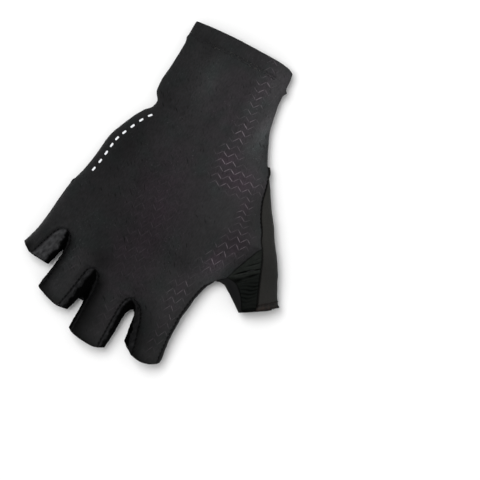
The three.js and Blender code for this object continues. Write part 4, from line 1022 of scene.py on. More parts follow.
def suede_material(shade, look, brightness=1.0, pitch=6.1):
    """Matt synthetic suede with a nap of two noises, and a raised silver zigzag where the tones ask for it."""
    vector, x, y, _ = shade.places()
    printed, _, light = shade.tones()
    wander = (shade.noise(vector, 20, 1) - 0.5) * 1.6
    mark = zigzag(shade, x + wander, y + wander, 5.8, 3.3, pitch, 0.75) * printed
    cloud, nap = shade.noise(vector, 9, 3), shade.noise(vector, 0.35, 3)
    body = shade.times(look.suede, light * (brightness * (0.8 + 0.25 * cloud + 0.2 * nap)))
    return shade.finish(
        shade.blend(body, look.silver, mark), 0.9 - 0.5 * mark, nap * 0.5 + mark * 2.2, 0.06,
        Specular_IOR_Level=0.1, Sheen_Weight=look.sheen * 0.5, Sheen_Roughness=0.6, Sheen_Tint=(0.9, 0.9, 0.9),
    )


def thread_material(shade, colour, specks=()):
    """Twisted thread: a base colour with fine stripes round it, and specks that are thickest on the middle of the back.
    Each is a colour, the noise that it starts at, and how steeply."""
    vector, x, y, z = shade.places()
    twist = ((x + y + z) / 0.32).wave()
    body = shade.blend([0.7 * part for part in colour], colour, twist)
    for speck, start, slope in specks:
        middle = ((x + 18) / 12).limited() * ((28 - x) / 8).limited()
        body = shade.blend(body, speck, shade.patches(vector, 0.9, start, slope) * middle)
    return shade.finish(body, 0.85 - 0.15 * twist, twist, 0.04, Specular_IOR_Level=0.05)


def film_material(shade, look):
    """Heat-set reflective film: light grey with a fine grain of glass beads."""
    beads = shade.noise(shade.places()[0], 0.25, 2)
    body = shade.blend(look.film, (0.55, 0.56, 0.58), beads)
    return shade.finish(body, 0.45 + 0.2 * beads, beads, 0.02, Specular_IOR_Level=0.5)


def floor_material(shade, look):
    """Pale matt floor, a little uneven."""
    vector = shade.places()[0]
    colour = shade.times(look.floor, 0.985 + 0.03 * shade.noise(vector, 60, 2))
    return shade.finish(colour, 0.9, shade.noise(vector, 2, 2), 0.01, Specular_IOR_Level=0.1)


MATERIALS = {
    "charcoal_knit": knit_material,
    "lining_knit": lambda shade, look: plain_cloth(shade, look.strip, look.knit, look.sheen * 0.4, wale=0.8),
    "black_stretch": lambda shade, look: plain_cloth(
        shade, look.strip, look.knit, 0.0, size=2.6, spread=0.7, depth=0.12, gloss=0.015),
    "brushed_fleece": lambda shade, look: plain_cloth(
        shade, look.fleece, look.fleece_worn, look.sheen, spread=0.2, gloss=0.06),
    "gathered_stretch": lambda shade, look: plain_cloth(
        shade, look.gusset, look.fleece, 0.0, size=3, spread=0.5, gloss=0.015),
    "printed_suede": suede_material,
    "plain_suede": partial(suede_material, brightness=0.9),
    "padded_suede": partial(suede_material, brightness=1.1, pitch=6.6),
    "dark_thread": lambda shade, look: thread_material(shade, look.thread),
    "worn_thread": lambda shade, look: thread_material(shade, look.worn_thread),
    "pale_thread": lambda shade, look: thread_material(shade, look.pale_thread),
    "grey_thread": lambda shade, look: thread_material(
        shade, look.cuff_thread, ((look.cuff_speck, 0.55, 10), (look.thread, 0.42, -9))),
    "reflective_film": film_material,
    "pale_floor": floor_material,
}


def coated(made, look, *materials):
    """Gives a piece its materials, each of which is made once."""
    for name in materials:
        made.data.materials.append(bpy.data.materials.get(name) or MATERIALS[name](Shade(name), look))
    return made


def dressed(made, look, materials, replaced=None):
    """Gives a piece its materials and its place in the frame."""
    coated(made, look, *materials)
    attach(made, "root")
    if replaced:
        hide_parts(replaced)
    return made


# Sizes and colours that a user would change
def length(name, description, default):
    return bpy.props.FloatProperty(
        name=name, description=description, default=default, precision=5, unit="LENGTH", subtype="DISTANCE")


def colour(name, description, default):
    return bpy.props.FloatVectorProperty(
        name=name, description=description, default=default, subtype="COLOR", size=3, min=0, max=1)


class GloveSizes(bpy.types.PropertyGroup):
    """Thicknesses of the cloth and measures of the stitching."""

    wall: length("Cloth", "Thickness of the panels", 0.0012)
    side_wall: length("Side strips", "Thickness of the strips between the fingers", 0.001)
    hem_wall: length("Cuff hem", "Thickness of the elastic hem", 0.0016)
    seam_overlap: length("Seam overlap", "How far a panel's edge runs past its seam line", 0.00032)
    stitch: length("Stitch", "Length of one stitch", 0.0017)
    stitch_pitch: length("Stitch pitch", "Distance from stitch to stitch", 0.0024)
    thread: length("Thread", "Thickness of the thread", 0.00036)


class GloveFinish(bpy.types.PropertyGroup):
    """Colours and gloss of the glove."""

    knit: colour("Knit", "Back of the hand", (0.0122, 0.0121, 0.0127))
    knit_tint: colour("Knit tint", "Purple tint of the back", (0.0172, 0.0117, 0.0160))
    knit_cool: colour("Knit shade", "Cooler patches of the back", (0.0108, 0.0125, 0.0126))
    knit_mark: colour("Knit zigzag", "Thin zigzag lines of the back", (0.235, 0.2, 0.225))
    suede: colour("Suede", "Palm", (0.0165, 0.0169, 0.0179))
    silver: colour("Gripper print", "Silver print of the palm", (0.55, 0.56, 0.58))
    fleece: colour("Thumb", "Plain outer panel of the thumb", (0.0182, 0.0177, 0.0162))
    fleece_worn: colour("Worn hem", "Worn thumb hem", (0.034, 0.0215, 0.0175))
    strip: colour("Side strips", "Strips between the fingers", (0.0065, 0.0065, 0.0068))
    gusset: colour("Gusset", "Gathered gusset of the thumb", (0.0040, 0.0047, 0.0042))
    thread: colour("Thread", "Dark thread", (0.0012, 0.0012, 0.0012))
    worn_thread: colour("Worn thread", "Thread of the thumb's hem", (0.009, 0.005, 0.004))
    cuff_thread: colour("Cuff thread", "Thread of the cuff's zigzag stitch", (0.0210, 0.0200, 0.0215))
    cuff_speck: colour("Cuff specks", "Pale specks of the cuff's thread", (0.072, 0.069, 0.06))
    pale_thread: colour("Pale thread", "Thread of the palm", (0.11, 0.11, 0.11))
    film: colour("Film", "Reflective dashes", (0.75, 0.76, 0.78))
    floor: colour("Floor", "Surface that the glove lies on", (0.86, 0.86, 0.86))
    sheen: bpy.props.FloatProperty(
        name="Sheen", description="Strength of the cloth's sheen", default=0.03, min=0, max=1, subtype="FACTOR")


class PieceOperator:
    """What the operators share: the sizes in millimetres, the look, and a check of the pieces."""

    bl_options = {"REGISTER", "UNDO"}

    def settings(self, context):
        group = context.scene.glove_sizes
        return {key: getattr(group, key) / MM for key in group.__annotations__}, context.scene.glove_finish

    def done(self, *made):
        for piece in made:
            if not len(piece.data.polygons):
                raise RuntimeError(f"{piece.name} has no faces")
        return {"FINISHED"}


class GLOVE_OT_back(PieceOperator, bpy.types.Operator):
    """Builds the knit back of the hand and its elastic cuff hem"""

    bl_idname = "glove.back"
    bl_label = "Back and cuff"

    def execute(self, context):
        size, look = self.settings(context)
        materials = ("charcoal_knit", "lining_knit")
        strips, band = back_strips(back_panel_rows), back_strips(hem_rows)
        back = cloth(
            "knit_back", [*strips, *cuff_undersides(False, strips)], size["wall"], size["seam_overlap"], back_tone,
            guarded(back_relief), pucker=0.22, roll=guarded(back_roll),
        )
        dressed(back, look, materials, "back_panel")
        hem = cloth(
            "elastic_cuff", [*band, *cuff_undersides(True, band)], size["hem_wall"], size["seam_overlap"] + 0.3,
            lambda points: tones(BACK_TONES, points) * [1, 1, 0.86], guarded(hem_relief),
        )
        return self.done(back, dressed(hem, look, materials, "cuff_hem"))


def palm_rows(k, s):
    """Rows of a palm strip: shared ones, then its own down to the hem."""
    g = palm_across(k, s, PALM_LAST[k])
    end = meet(hems[k], lambda y: strip_x("palm", k, g, y)) + PALM_HEM_SETBACK
    return np.array(finger_rows(PALM_ROWS, PALM_LAST[k], end))


def palm_relief(points):
    """Creases of the palm, pressed in, and soft unrest of the suede."""
    return -fold_depth(PALM_CREASES, points[:, 0], points[:, 1]) + 0.07 * ripple(points, 8, 31)


class GLOVE_OT_palm(PieceOperator, bpy.types.Operator):
    """Builds the suede palm with the undersides of the fingers and the wrist strip"""

    bl_idname = "glove.palm"
    bl_label = "Palm"

    def execute(self, context):
        size, look = self.settings(context)
        patches = []
        for k, count in enumerate(PALM_COLUMNS):
            s = np.linspace(0, 1, count + 1)
            y = palm_rows(k, s)
            grid = underside(strip_x("palm", k, palm_across(k, np.broadcast_to(s, y.shape), y), y), y)
            patches.append((grid, grid[..., :2], False))
        palm = cloth(
            "suede_palm", patches, size["wall"], size["seam_overlap"], partial(tones, PALM_TONES),
            guarded(palm_relief), pucker=0.12, groove=0.3,
        )
        return self.done(dressed(palm, look, ("printed_suede", "lining_knit"), "palm_panel"))


def finger_wall(k, g, starts, edges, f, v, above=0.0, below=0.0):
    """A wall of a finger from its start to its hem: from the back's seam, round the side and down to the palm's seam.
    g is the back's share that it starts from, and edges are its lines at the three levels."""
    f = f[:, None]
    back_y, side_y, palm_y = (
        mix(starts[level], meet(hems[k], edge) + SETBACKS[level], f) for level, edge in zip(SETBACKS, edges))
    top = back_point(k, np.full_like(f, g), back_y)
    side = stacked(edges[1](side_y), side_y, SIDE_HEIGHT)
    return three_lines(top, side, underside(edges[2](palm_y), palm_y), v, above, below)


def side_strip_grid(gap):
    """The strip between two fingers: down one finger's side, round the web and out along the other."""
    starts = {level: found["top"] for level, found in gap_lines[gap].items()}

    def branch(k, edge, f):
        edges = [found["edges"][edge] for found in gap_lines[gap].values()]
        slack = (WEB_SLACK * (1 - f) ** 3)[:, None, None]
        return finger_wall(k, 1.0 - edge, starts, edges, f, np.linspace(0, 1, 41), slack, WEB_SLACK)

    f = np.linspace(1, 0, 76) ** 1.6
    return np.concatenate([branch(gap, 0, f), branch(gap + 1, 1, f[:-1][::-1])])


def strip_tone(gap, rims):
    """Light on a strip between two fingers: the rims along the top seams catch it, and the fold between them is black.
    The left rim ends at its width or short of the fold, whichever comes first, and both borders wander."""
    back, side = gap["back"]["edges"], gap["side"]["edges"]
    (left_wide, short, left_light), (right_wide, right_light) = rims

    def tone(points):
        x, y, z = points.T
        wander = 0.35 * ripple(points * [1, 0.7, 1], 3.4, 44) + 0.25 * ripple(points, 1.7, 45)
        left_end = np.minimum(back[0](y) + left_wide, side[0](y) - short)
        left = left_light * ease(0.9, -1.0, x - left_end + wander)
        right = right_light * ease(right_wide + 0.35, right_wide - 0.35, back[1](y) - x + wander)
        light = np.maximum(left, right) * (1 + 0.28 * ripple(points * [1, 0.5, 1], 1.8, 43))
        return stacked(0, 0, mix(np.maximum(light, DARK_LIGHT), 1, ease(5.2, 3.5, z)))

    return tone


def strip_relief(points):
    """Lengthwise creases of the stretch strips between the fingers."""
    stretched = points * [1, 0.3, 1]
    return 0.18 * ripple(stretched, 3.4, 41) + 0.12 * ripple(stretched, 7, 42) + 0.1 * ripple(points, 2.0, 46)


class GLOVE_OT_side_strips(PieceOperator, bpy.types.Operator):
    """Builds the stretch strips between the fingers and the strip beside the index finger"""

    bl_idname = "glove.side_strips"
    bl_label = "Side strips"

    def execute(self, context):
        size, look = self.settings(context)
        edge = (size["side_wall"], size["seam_overlap"])
        made = []
        for i, (gap, lines) in enumerate(zip(GAPS, gap_lines)):
            grid = side_strip_grid(i)
            tone = strip_tone(lines, gap["rims"])
            piece = cloth(gap["name"] + "_strip", [(grid, plain_uv(grid), False)], *edge, tone, strip_relief)
            made.append(dressed(
                piece, look, ("black_stretch", "lining_knit"), gap["name"] + "_fourchette"))
        f, v = np.linspace(0, 1, 60) ** 1.4, np.linspace(0, 1, 25)
        grid = finger_wall(3, 1.0, INDEX_PANEL_START, (back_edge_x, index_side_x, palm_right), f, v)
        index = cloth("index_side_strip", [(grid, plain_uv(grid), True)], *edge, side_tone, strip_relief)
        return self.done(
            *made, dressed(index, look, ("plain_suede", "lining_knit"), "index_side_panel"))


def thumb_top_seam(f, start=THUMB_SIDE_END):
    """The seam of the thumb's outer panel, from a start to the hem."""
    y = mix(start, THUMB_HEM["top"][1], f)
    return stacked(thumb_top_x(y), y, thumb_top_z(y))


def thumb_outer_point(f, v):
    """The thumb's outer panel: a quarter wave out from the top seam, then one under to the seam below."""
    rough = ease(0.93, 1, f) * 0.0035 * np.sin(np.pi / 2 * np.minimum(v / 0.1, 1))
    f = f + rough * (np.sin(43 * v) + np.sin(71 * v + 1))
    side_y, under_y = (mix(THUMB_SIDE_END, THUMB_HEM[key][1], f) for key in ("side", "under"))
    side = stacked(thumb_outer_x(side_y), side_y, SIDE_HEIGHT)
    upper = three_lines(thumb_top_seam(f), side, side, np.minimum(v, 0.4999999))
    g = 1 - np.cos(np.clip(v - 0.5, 0, 1) * np.pi)
    lower = underside(mix(side[..., 0], thumb_under_x(under_y), g), mix(side_y, under_y, g))
    return np.where((v < 0.5)[..., None], upper, lower)


def gusset_folds(f, v):
    """Rise and painted shade of the gusset's cloth: loose folds fan out above the fold line, fine pleats lie below it.
    A pleat's depth is one less a sine's size to the power 0.6: its crest is round and painted lighter, its valley
    sharp and painted dark. The fold line and the loose folds' lines are painted dark, the pleated lower part darker."""
    start = 0.41 - 0.03 * v
    down = (f - start) / (1 - start)
    low = ease(-0.02, 0.06, down)
    turn = down * 9.5 + 0.22 * np.sin(v * 4.1 + down * 5) + 0.1 * np.sin(v * 9 + down * 11)
    fine = (1 - np.abs(np.sin(turn * np.pi)) ** 0.6) * (0.62 + 0.38 * np.sin(down * 9 + v * 3 + 2)) * low
    folds, v1 = GUSSET_LINES, v[..., None]
    off = f[..., None] - mix(folds["start"], folds["end"], v1) - 0.003 * np.sin(v1 * 9 + folds["end"] * 40)
    grown = folds["deep"] * ease(folds["first"], folds["first"] + 0.4, v1)
    lines = (grown * bell(off, folds["wide"])).sum(-1)
    loose = (grown * bell(off - 0.025, 0.02)).sum(-1)
    crease = bell(down, 0.028 + 0.05 * bell(v, 0.2)) * (0.8 + 0.2 * np.sin(v * 11))
    rise = GUSSET_SWELL * (1 - 0.4 * low) + (0.5 * loose - 0.8 * lines) * (1 - low) - 1.6 * crease - 1.05 * fine
    shade = (1 - 0.3 * low) * (1 - 0.88 * crease) * (1.15 - 0.85 * fine)
    return rise, np.clip(shade * (0.95 + (0.3 * loose - 0.85 * lines) * (1 - low)), 0.06, 2)


def gusset_point(f, v):
    """The gusset: straight between its two edges, swelling between them, with its folds across it."""
    left, right = gusset_edge(f), thumb_top_seam(f, GUSSET_TOP_Y)
    grid = mix(left, right, v[..., None])
    side = np.sqrt(np.clip(np.sin(v * np.pi), 0, 1)) * ease(0, 9, np.linalg.norm(right - left, axis=-1))
    grid[..., 2] += side * gusset_folds(f, v)[0]
    return grid


def gusset_tone(points):
    """The gusset is greyer towards its upper end, where it is smooth, and dark along its hem."""
    upper = ease(-26, -18, points[:, 1] - 1.1 * (points[:, 0] - 66))
    hem = 0.6 * bell(thumb_along(points) + 0.6, 1.8)
    return stacked(0, 0.08 * upper, (1.6 + 0.4 * upper) * (1 - hem))


def thumb_inner_point(f, v):
    """The thumb's inner side: a patch filled in between its four edges below, then a quarter turn up to the gusset."""
    share, hem = 0.7, np.array(THUMB_HEM["under"])
    web = web_side(0.0)

    def base(h):
        y = mix(0, web[1], h)
        return stacked(mix(palm_right(y), web[0], ease(0.9, 1, h)), y)

    def hem_line(h):
        return mix(hem, web_side(1.0), h[..., None])

    h = np.sin(np.clip(v / share, 0, 1) * np.pi / 2)
    f1, h1, ends = f[..., None], h[..., None], np.array([0.0, 1.0])
    outer, side = stacked(thumb_under_x(hem[1] * f), hem[1] * f), web_side(f)
    corners = mix(mix(*base(ends), h1), mix(*hem_line(ends), h1), f1)
    flat = mix(base(h), hem_line(h), f1) + mix(outer, side, h1) - corners
    lower = underside(flat[..., 0], flat[..., 1])
    lower[..., 2] = np.where(v == share, SIDE_HEIGHT, lower[..., 2])
    a = (np.clip((v - share) / (1 - share), 0, 1) * np.pi / 2)[..., None]
    top = web_top(f)
    upper = [mix(side, top[..., :2], 1 - np.cos(a)), mix(SIDE_HEIGHT, top[..., 2:], np.sin(a))]
    return np.where((v <= share)[..., None], lower, np.concatenate(upper, -1))


def thumb_along(points):
    """Distance up the thumb from its hem."""
    return (points[:, 1] + 31) * 0.86 - (points[:, 0] - 84) * 0.5


def thumb_tone(points):
    """The thumb's cloth is worn and reddish at its hem, and darker along the hem's stitched line."""
    along, y = thumb_along(points), points[:, 1]
    worn = bell(np.maximum(along, 0), 2.0) * np.clip(0.7 + 0.5 * ripple(points, 2.5, 55), 0, 1)
    stitched = bell(along - 2.2 - 0.2 * ripple(points, 4, 56), 0.45)
    # Painted light: lighter towards the wrist, with painted shade about y = -12.
    even = 0.8 + 0.18 * ease(-12, 12, y) - 0.14 * bell(y + 12, 8)
    return stacked(0, worn, even * (1 - 0.1 * worn) * (1 - 0.75 * stitched))


def thumb_relief(points):
    """The thumb's soft unrest."""
    return 0.1 * ripple(points, 12, 51) + 0.05 * ripple(points, 5, 52)


def thumb_roll(points):
    """The thumb's hem rolls outwards over its stitched line, unevenly."""
    along = thumb_along(points)
    return (0.8 * bell(along - 0.2, 1.1) - 0.3 * bell(along - 2.3, 0.5)) * (1 + 0.3 * ripple(points, 3, 54))


def inner_relief(points):
    return 0.18 * ripple(points * [1, 0.6, 1], 7, 53)


class GLOVE_OT_thumb(PieceOperator, bpy.types.Operator):
    """Builds the thumb's outer and inner panels and the gathered gusset"""

    bl_idname = "glove.thumb"
    bl_label = "Thumb"

    def execute(self, context):
        size, look = self.settings(context)
        edge = (size["wall"], size["seam_overlap"])
        steps = np.linspace
        grid = thumb_outer_point(*np.meshgrid([0, 0.01, 0.025, *steps(0.04, 1, 80)], steps(0, 1, 61), indexing="ij"))
        outer = cloth(
            "thumb_outer", [(grid, plain_uv(grid), True)], *edge, thumb_tone, guarded(thumb_relief), pucker=0.18,
            roll=guarded(thumb_roll),
        )
        dressed(outer, look, ("brushed_fleece", "lining_knit"), "thumb_outer_panel")
        f, v = np.meshgrid(steps(0, 1, 380), steps(0, 1, 37), indexing="ij")
        grid = gusset_point(f, v)
        # The third uv column carries the folds' painted shade.
        uv = np.concatenate([plain_uv(grid), gusset_folds(f, v)[1][..., None]], -1)
        gusset = cloth("gathered_gusset", [(grid, uv, True)], *edge, gusset_tone)
        dressed(gusset, look, ("gathered_stretch", "lining_knit"), "thumb_gusset")
        v = [*steps(0, 0.7, 34), *steps(0.7, 1, 16)[1:]]
        grid = thumb_inner_point(*np.meshgrid(steps(0, 1, 60), v, indexing="ij"))
        inner = cloth("thumb_inner", [(grid, plain_uv(grid), True)], *edge, side_tone, guarded(inner_relief))
        dressed(inner, look, ("plain_suede", "lining_knit"), "thumb_inner_panel")
        return self.done(outer, gusset, inner)


def pad_outline(pad, angle, share):
    """The pad's oval: two half sizes that taper towards one end, turned and moved to its place."""
    cos, sin = math.cos(math.radians(pad["turn"])), math.sin(math.radians(pad["turn"]))
    beside = pad["wide"] * share * np.cos(angle) * (1 + pad["taper"] * np.sin(angle))
    along = pad["long"] * share * np.sin(angle)
    return pad["x"] + beside * cos - along * sin, pad["y"] + beside * sin + along * cos


class GLOVE_OT_pads(PieceOperator, bpy.types.Operator):
    """Builds the two stuffed pads of the palm"""

    bl_idname = "glove.pads"
    bl_label = "Palm pads"

    def execute(self, context):
        _, look = self.settings(context)
        made = []
        profile = curve("q r z", "q", *[(q, *row) for q, row in enumerate(PAD_PROFILE)])
        radius, height = profile(np.linspace(0, len(PAD_PROFILE) - 1, 60)[1:-1]).T
        angle = np.linspace(0, 2 * np.pi, 97)[:-1]
        face = height < PAD_FACE
        for pad in PADS:
            grid = stacked(*pad_outline(pad, angle, radius[:, None]), height[:, None])
            rows, around = grid.shape[:2]
            grid[..., 2] += np.abs(0.12 * ripple(grid, 6, 61)) * (radius * face)[:, None]
            points = np.concatenate([grid.reshape(-1, 3), [[pad["x"], pad["y"], z] for z in (0.0, PAD_TOP)]])
            inside = np.concatenate([np.repeat(ease(*PAD_PRINT, radius) * face, around), [1, 0]])
            tris = tube_faces(rows, around)
            piece = add_mesh(pad["name"] + "_cushion", points, tris, points[:, :2], stacked(inside, 0, 1))
            dressed(piece, look, ("padded_suede",), pad["name"])
            made.append(piece)
        return self.done(*made)


def tongue_edge(tongue, side):
    """A long side of a tongue, which ends in a half circle: the root of one less the squared place past its centre."""
    centre_y = tongue["tip_y"] + tongue["half"]

    def follow(y):
        t = np.clip((y - tongue["base_y"]) / (centre_y - tongue["base_y"]), 0, 1)
        past = np.clip((centre_y - y) / tongue["half"], 0, 1)
        x = mix(tongue["base_x"], tongue["tip_x"], t) + side * tongue["half"] * np.sqrt(1 - past * past)
        return np.minimum(x, tongue["cut"](y)) if tongue["cut"] and side > 0 else x

    return follow


class GLOVE_OT_pull_tabs(PieceOperator, bpy.types.Operator):
    """Builds the two finger tongues, the piece between them and the pull tab's second layer"""

    bl_idname = "glove.pull_tabs"
    bl_label = "Pull tabs"

    def execute(self, context):
        size, look = self.settings(context)
        made = []

        def flap(name, node, left, right, rows, low=0.0, tone=even_tone, material="plain_suede"):
            """A flat flap of cloth between two lines that run along it."""
            x = mix(left(rows)[:, None], right(rows)[:, None], np.linspace(0, 1, 22))
            grid = stacked(x, rows[:, None], low)
            piece = cloth(name, [(grid, grid[..., :2], False)], TONGUE_THICKNESS, size["seam_overlap"], tone)
            made.append(dressed(piece, look, (material, "plain_suede"), node))

        for tongue in TONGUES:
            name, centre_y = tongue["name"], tongue["tip_y"] + tongue["half"]
            bend = np.sin(np.linspace(0, np.pi / 2, 24)[1:])
            rows = np.concatenate([np.linspace(tongue["base_y"], centre_y, 30), centre_y - tongue["half"] * bend])
            edges = tongue_edge(tongue, -1), tongue_edge(tongue, 1)
            flap(name + "_flap", name, *edges, rows, 0.0, partial(even_tone, printed=0.95), "printed_suede")
        flap(
            "tab_bridge_flap", "tab_bridge", bridge_left, bridge_right, np.linspace(*BRIDGE_ENDS, 40),
            tone=partial(even_tone, light=1.35),
        )
        layer = TAB_LAYER
        flap(
            "wrist_tab_layer", "wrist_pull_tab", lambda y: 0 * y + layer["left"], lambda y: 0 * y + layer["right"],
            np.linspace(layer["top"], layer["bottom"], 24), layer["low"],
        )
        return self.done(*made)


# Stitching: where the zigzag stitches of the thumb's seam and hem lie, how far the cuff's lie from its seam, and the
# pitch and width of each
THUMB_STITCHES = {"line": (0.014, 0.962), "size": ((0.85, 0.9), (0.9, 0.7))}
CUFF_STITCHES = {"offsets": (-0.8, 0.7), "size": (1.1, 1.0)}


def with_normals(surface, a, b, outward):
    """Points of a surface of two parameters and its unit normals there, turned to the side of outward."""
    d = NORMAL_STEP
    normal = unit(np.cross(surface(a + d, b) - surface(a - d, b), surface(a, b + d) - surface(a, b - d)))
    facing = np.sign((normal * outward).sum(-1, keepdims=True))
    return surface(a, b), normal * np.where(facing == 0, 1, facing)


def path_length(path):
    """Length along a path at each of its points."""
    return arc_lengths(path[None])[0]


def resampled(path, normals, lengths):
    """Points and normals of a path at the given lengths along it."""
    arc = path_length(path)
    at = [stacked(*(np.interp(lengths, arc, part) for part in values.T)) for values in (path, normals)]
    return at[0], unit(at[1])


def running(path, normals, length, pitch):
    """A running stitch: ends of each stitch along a path, and the normals there."""
    starts = np.arange(pitch * 0.4, path_length(path)[-1] - length, pitch)
    a, normal = resampled(path, normals, starts)
    return a, resampled(path, normals, starts + length)[0], normal


def zigzag_stitch(path, normals, pitch, wide):
    """A zigzag stitch: ends of each thread, which crosses from one side of a path to the other."""
    at = np.arange(0, path_length(path)[-1], pitch)
    points, normal = resampled(path, normals, at)
    side = unit(np.cross(normal, np.gradient(points, axis=0)))
    sign = np.where(np.arange(len(at)) % 2, 1, -1)[:, None]
    points = points + side * sign * wide / 2
    return points[:-1], points[1:], normal[:-1]


def threads(name, ends, thick, rings=5, sides=6):
    """Short threads between pairs of points: each is a tube whose radius falls as the root of one less the fourth
    power of the place along it, and whose middle arches out of the cloth."""
    a, b, normal = (np.concatenate(part)[:, None] for part in zip(*ends))
    t = np.linspace(-1, 1, rings + 2)[1:-1, None]
    side = unit(np.cross(unit(b - a), normal))
    centre = mix(a, b, (t + 1) / 2) + normal * (thick * (0.55 - 0.75 * t * t))
    turn = np.linspace(0, 2 * np.pi, sides + 1)[:-1, None]
    spoke = normal[:, None] * np.cos(turn) + side[:, None] * np.sin(turn)
    body = centre[:, :, None] + spoke * (thick / 2 * np.sqrt(1 - t**4))[:, None]
    low = -0.3 * thick * normal
    points = np.concatenate([body.reshape(len(a), -1, 3), a + low, b + low], 1)
    tris = (tube_faces(rings, sides) + (np.arange(len(a)) * points.shape[1])[:, None, None]).reshape(-1, 3)
    flat = points.reshape(-1, 3)
    flat[:, 2] = np.maximum(flat[:, 2], 0)
    return add_mesh(name, flat, tris, flat[:, :2], even_tone(flat))


def back_seam(k, side, first, last):
    """A line on the back just inside the edge of a strip: side is 0 or 1."""
    y = np.linspace(first, last, 90)
    share = STITCH_INSET / np.maximum(border("back", k, 1, y) - border("back", k, 0, y), 1)
    return with_normals(partial(back_point, k), share if side == 0 else 1 - share, y, UP)


def under_path(edge, first, last, shift):
    """A line on the underside, at a distance beside a seam."""
    y = np.linspace(first, last, 120)
    return with_normals(underside, edge(y) + shift, y, DOWN)


class GLOVE_OT_stitching(PieceOperator, bpy.types.Operator):
    """Sews the seams: dark running stitches, the cuff's zigzag stitch and pale ones on the palm"""

    bl_idname = "glove.stitching"
    bl_label = "Stitching"

    def execute(self, context):
        size, look = self.settings(context)
        thick, step = size["thread"], (size["stitch"], size["stitch_pitch"])
        dark = []
        for gap, lines in enumerate(gap_lines):
            for k, side in ((gap, 1), (gap + 1, 0)):
                end = float(meet(hems[k], lines["back"]["edges"][1 - side])) + 1.0
                dark.append(running(*back_seam(k, side, lines["back"]["top"] - 1.2, end), *step))
        dark += [running(*back_seam(3, 1, *ends), *step) for ends in ((36, 6), (-34, -86))]
        f, v = np.linspace(0.08, 0.985, 120), np.linspace(0.06, 0.94, 90)
        at, sizes = THUMB_STITCHES["line"], THUMB_STITCHES["size"]
        overlock = zigzag_stitch(*with_normals(thumb_outer_point, f, at[0] + 0 * f, (0.3, 0, 1.0)), *sizes[0])
        hem = zigzag_stitch(*with_normals(thumb_outer_point, at[1] + 0 * v, v, (0.6, 0, 0.2)), *sizes[1])
        cuff = []
        for offset in CUFF_STITCHES["offsets"]:
            for k in range(4):
                g = np.linspace(0, CUFF_STITCH_END if k == 3 else 1, 60)
                y = back_cuff_y(k, g) - HEM_DEPTH + offset
                path = with_normals(partial(back_point, k), np.clip(g, 0.002, 0.998), y, UP)
                cuff.append(zigzag_stitch(*path, *CUFF_STITCHES["size"]))
        sides = (palm_left_seam, 88, 14, 1.0), (palm_right, 88, 2, -1.0)
        pale = [running(*under_path(*side), *step) for side in sides]
        for pad in PADS:
            points = underside(*pad_outline(pad, np.linspace(0, 2 * np.pi, 200), PAD_SEAM))
            pale.append(running(points, np.tile(DOWN, (200, 1)), *step))
        made = []
        for name, ends, share, slot, thread in (
            ("overlock_stitches", [overlock], 1.0, "thumb_fleece", "dark_thread"),
            ("dark_stitches", dark, 1.0, "knit_back", "dark_thread"),
            ("thumb_hem_stitches", [hem], 0.8, "thumb_fleece", "worn_thread"),
            ("cuff_stitches", cuff, 0.85, "knit_back", "grey_thread"),
            ("palm_stitches", pale, 1.0, "palm_suede", "pale_thread"),
        ):
            made.append(dressed(threads(name, ends, thick * share), look, (thread,)))
        return self.done(*made)


class GLOVE_OT_dashes(PieceOperator, bpy.types.Operator):
    """Lays a row of small plain reflective dashes along the little finger's side of the back"""

    bl_idname = "glove.dashes"
    bl_label = "Reflective dashes"

    def execute(self, context):
        (_, look), spec = self.settings(context), DASHES
        patches = []
        a, b = np.meshgrid(np.linspace(-1, 1, 9), np.linspace(-1, 1, 15), indexing="ij")
        a, b = a * spec["wide"] / 2 * np.sqrt(1 - 0.75 * b**6), b * spec["long"] / 2
        for y0 in np.linspace(spec["first"], spec["last"], spec["count"]):
            along = unit(np.array([pinky_side(y0 - 2) - pinky_side(y0 + 2), -4.0]))
            beside = np.array([-along[1], along[0]])
            x, y = (np.array([pinky_side(y0), y0]) + spec["inset"] * beside)[:, None, None] + (
                along[:, None, None] * b + beside[:, None, None] * a)
            g = (x - border("back", 0, 0, y)) / (border("back", 0, 1, y) - border("back", 0, 0, y))
            points, normal = with_normals(partial(back_point, 0), g, y, UP)
            points = points + normal * (back_relief(points) + spec["raised"])[..., None]
            patches.append((points, plain_uv(points), False))
        dashes = cloth("reflective_dashes", patches, spec["wall"], 0.0, even_tone)
        return self.done(dressed(dashes, look, ("reflective_film", "reflective_film")))


# Stage: the frame is 480 pixels of 0.56 mm, its middle lies here in the frame, and it is turned by 28 degrees
VIEW = {"wide": 268.8, "x": 34.7, "y": -3.5, "turn": 28.0, "lens": 300.0, "sensor": 36.0}
WORLD_STRENGTH = 0.63
FLOOR_HALF, FLOOR_LOW = 3000.0, -0.03
# Lights: where they stand, their rise in degrees and distance in metres, their size and power, and whether they give
# gloss or plain light
LIGHTS = (
    {"name": "key", "aim": (-0.956, 0.292), "rise": 64, "far": 2.4, "size": (1.5, 1.5), "watts": 46.0, "gloss": False},
    {
        "name": "rim_strip", "aim": (0.93, 0.36), "rise": 45, "far": 0.9, "size": (0.9, 0.25), "watts": 15.0,
        "gloss": True,
    },
)


def placed(scene, name, data, location, turn):
    """Adds a light or camera to the scene."""
    made = bpy.data.objects.new(name, data)
    made.location, made.rotation_euler = location, turn
    scene.collection.objects.link(made)
    return made


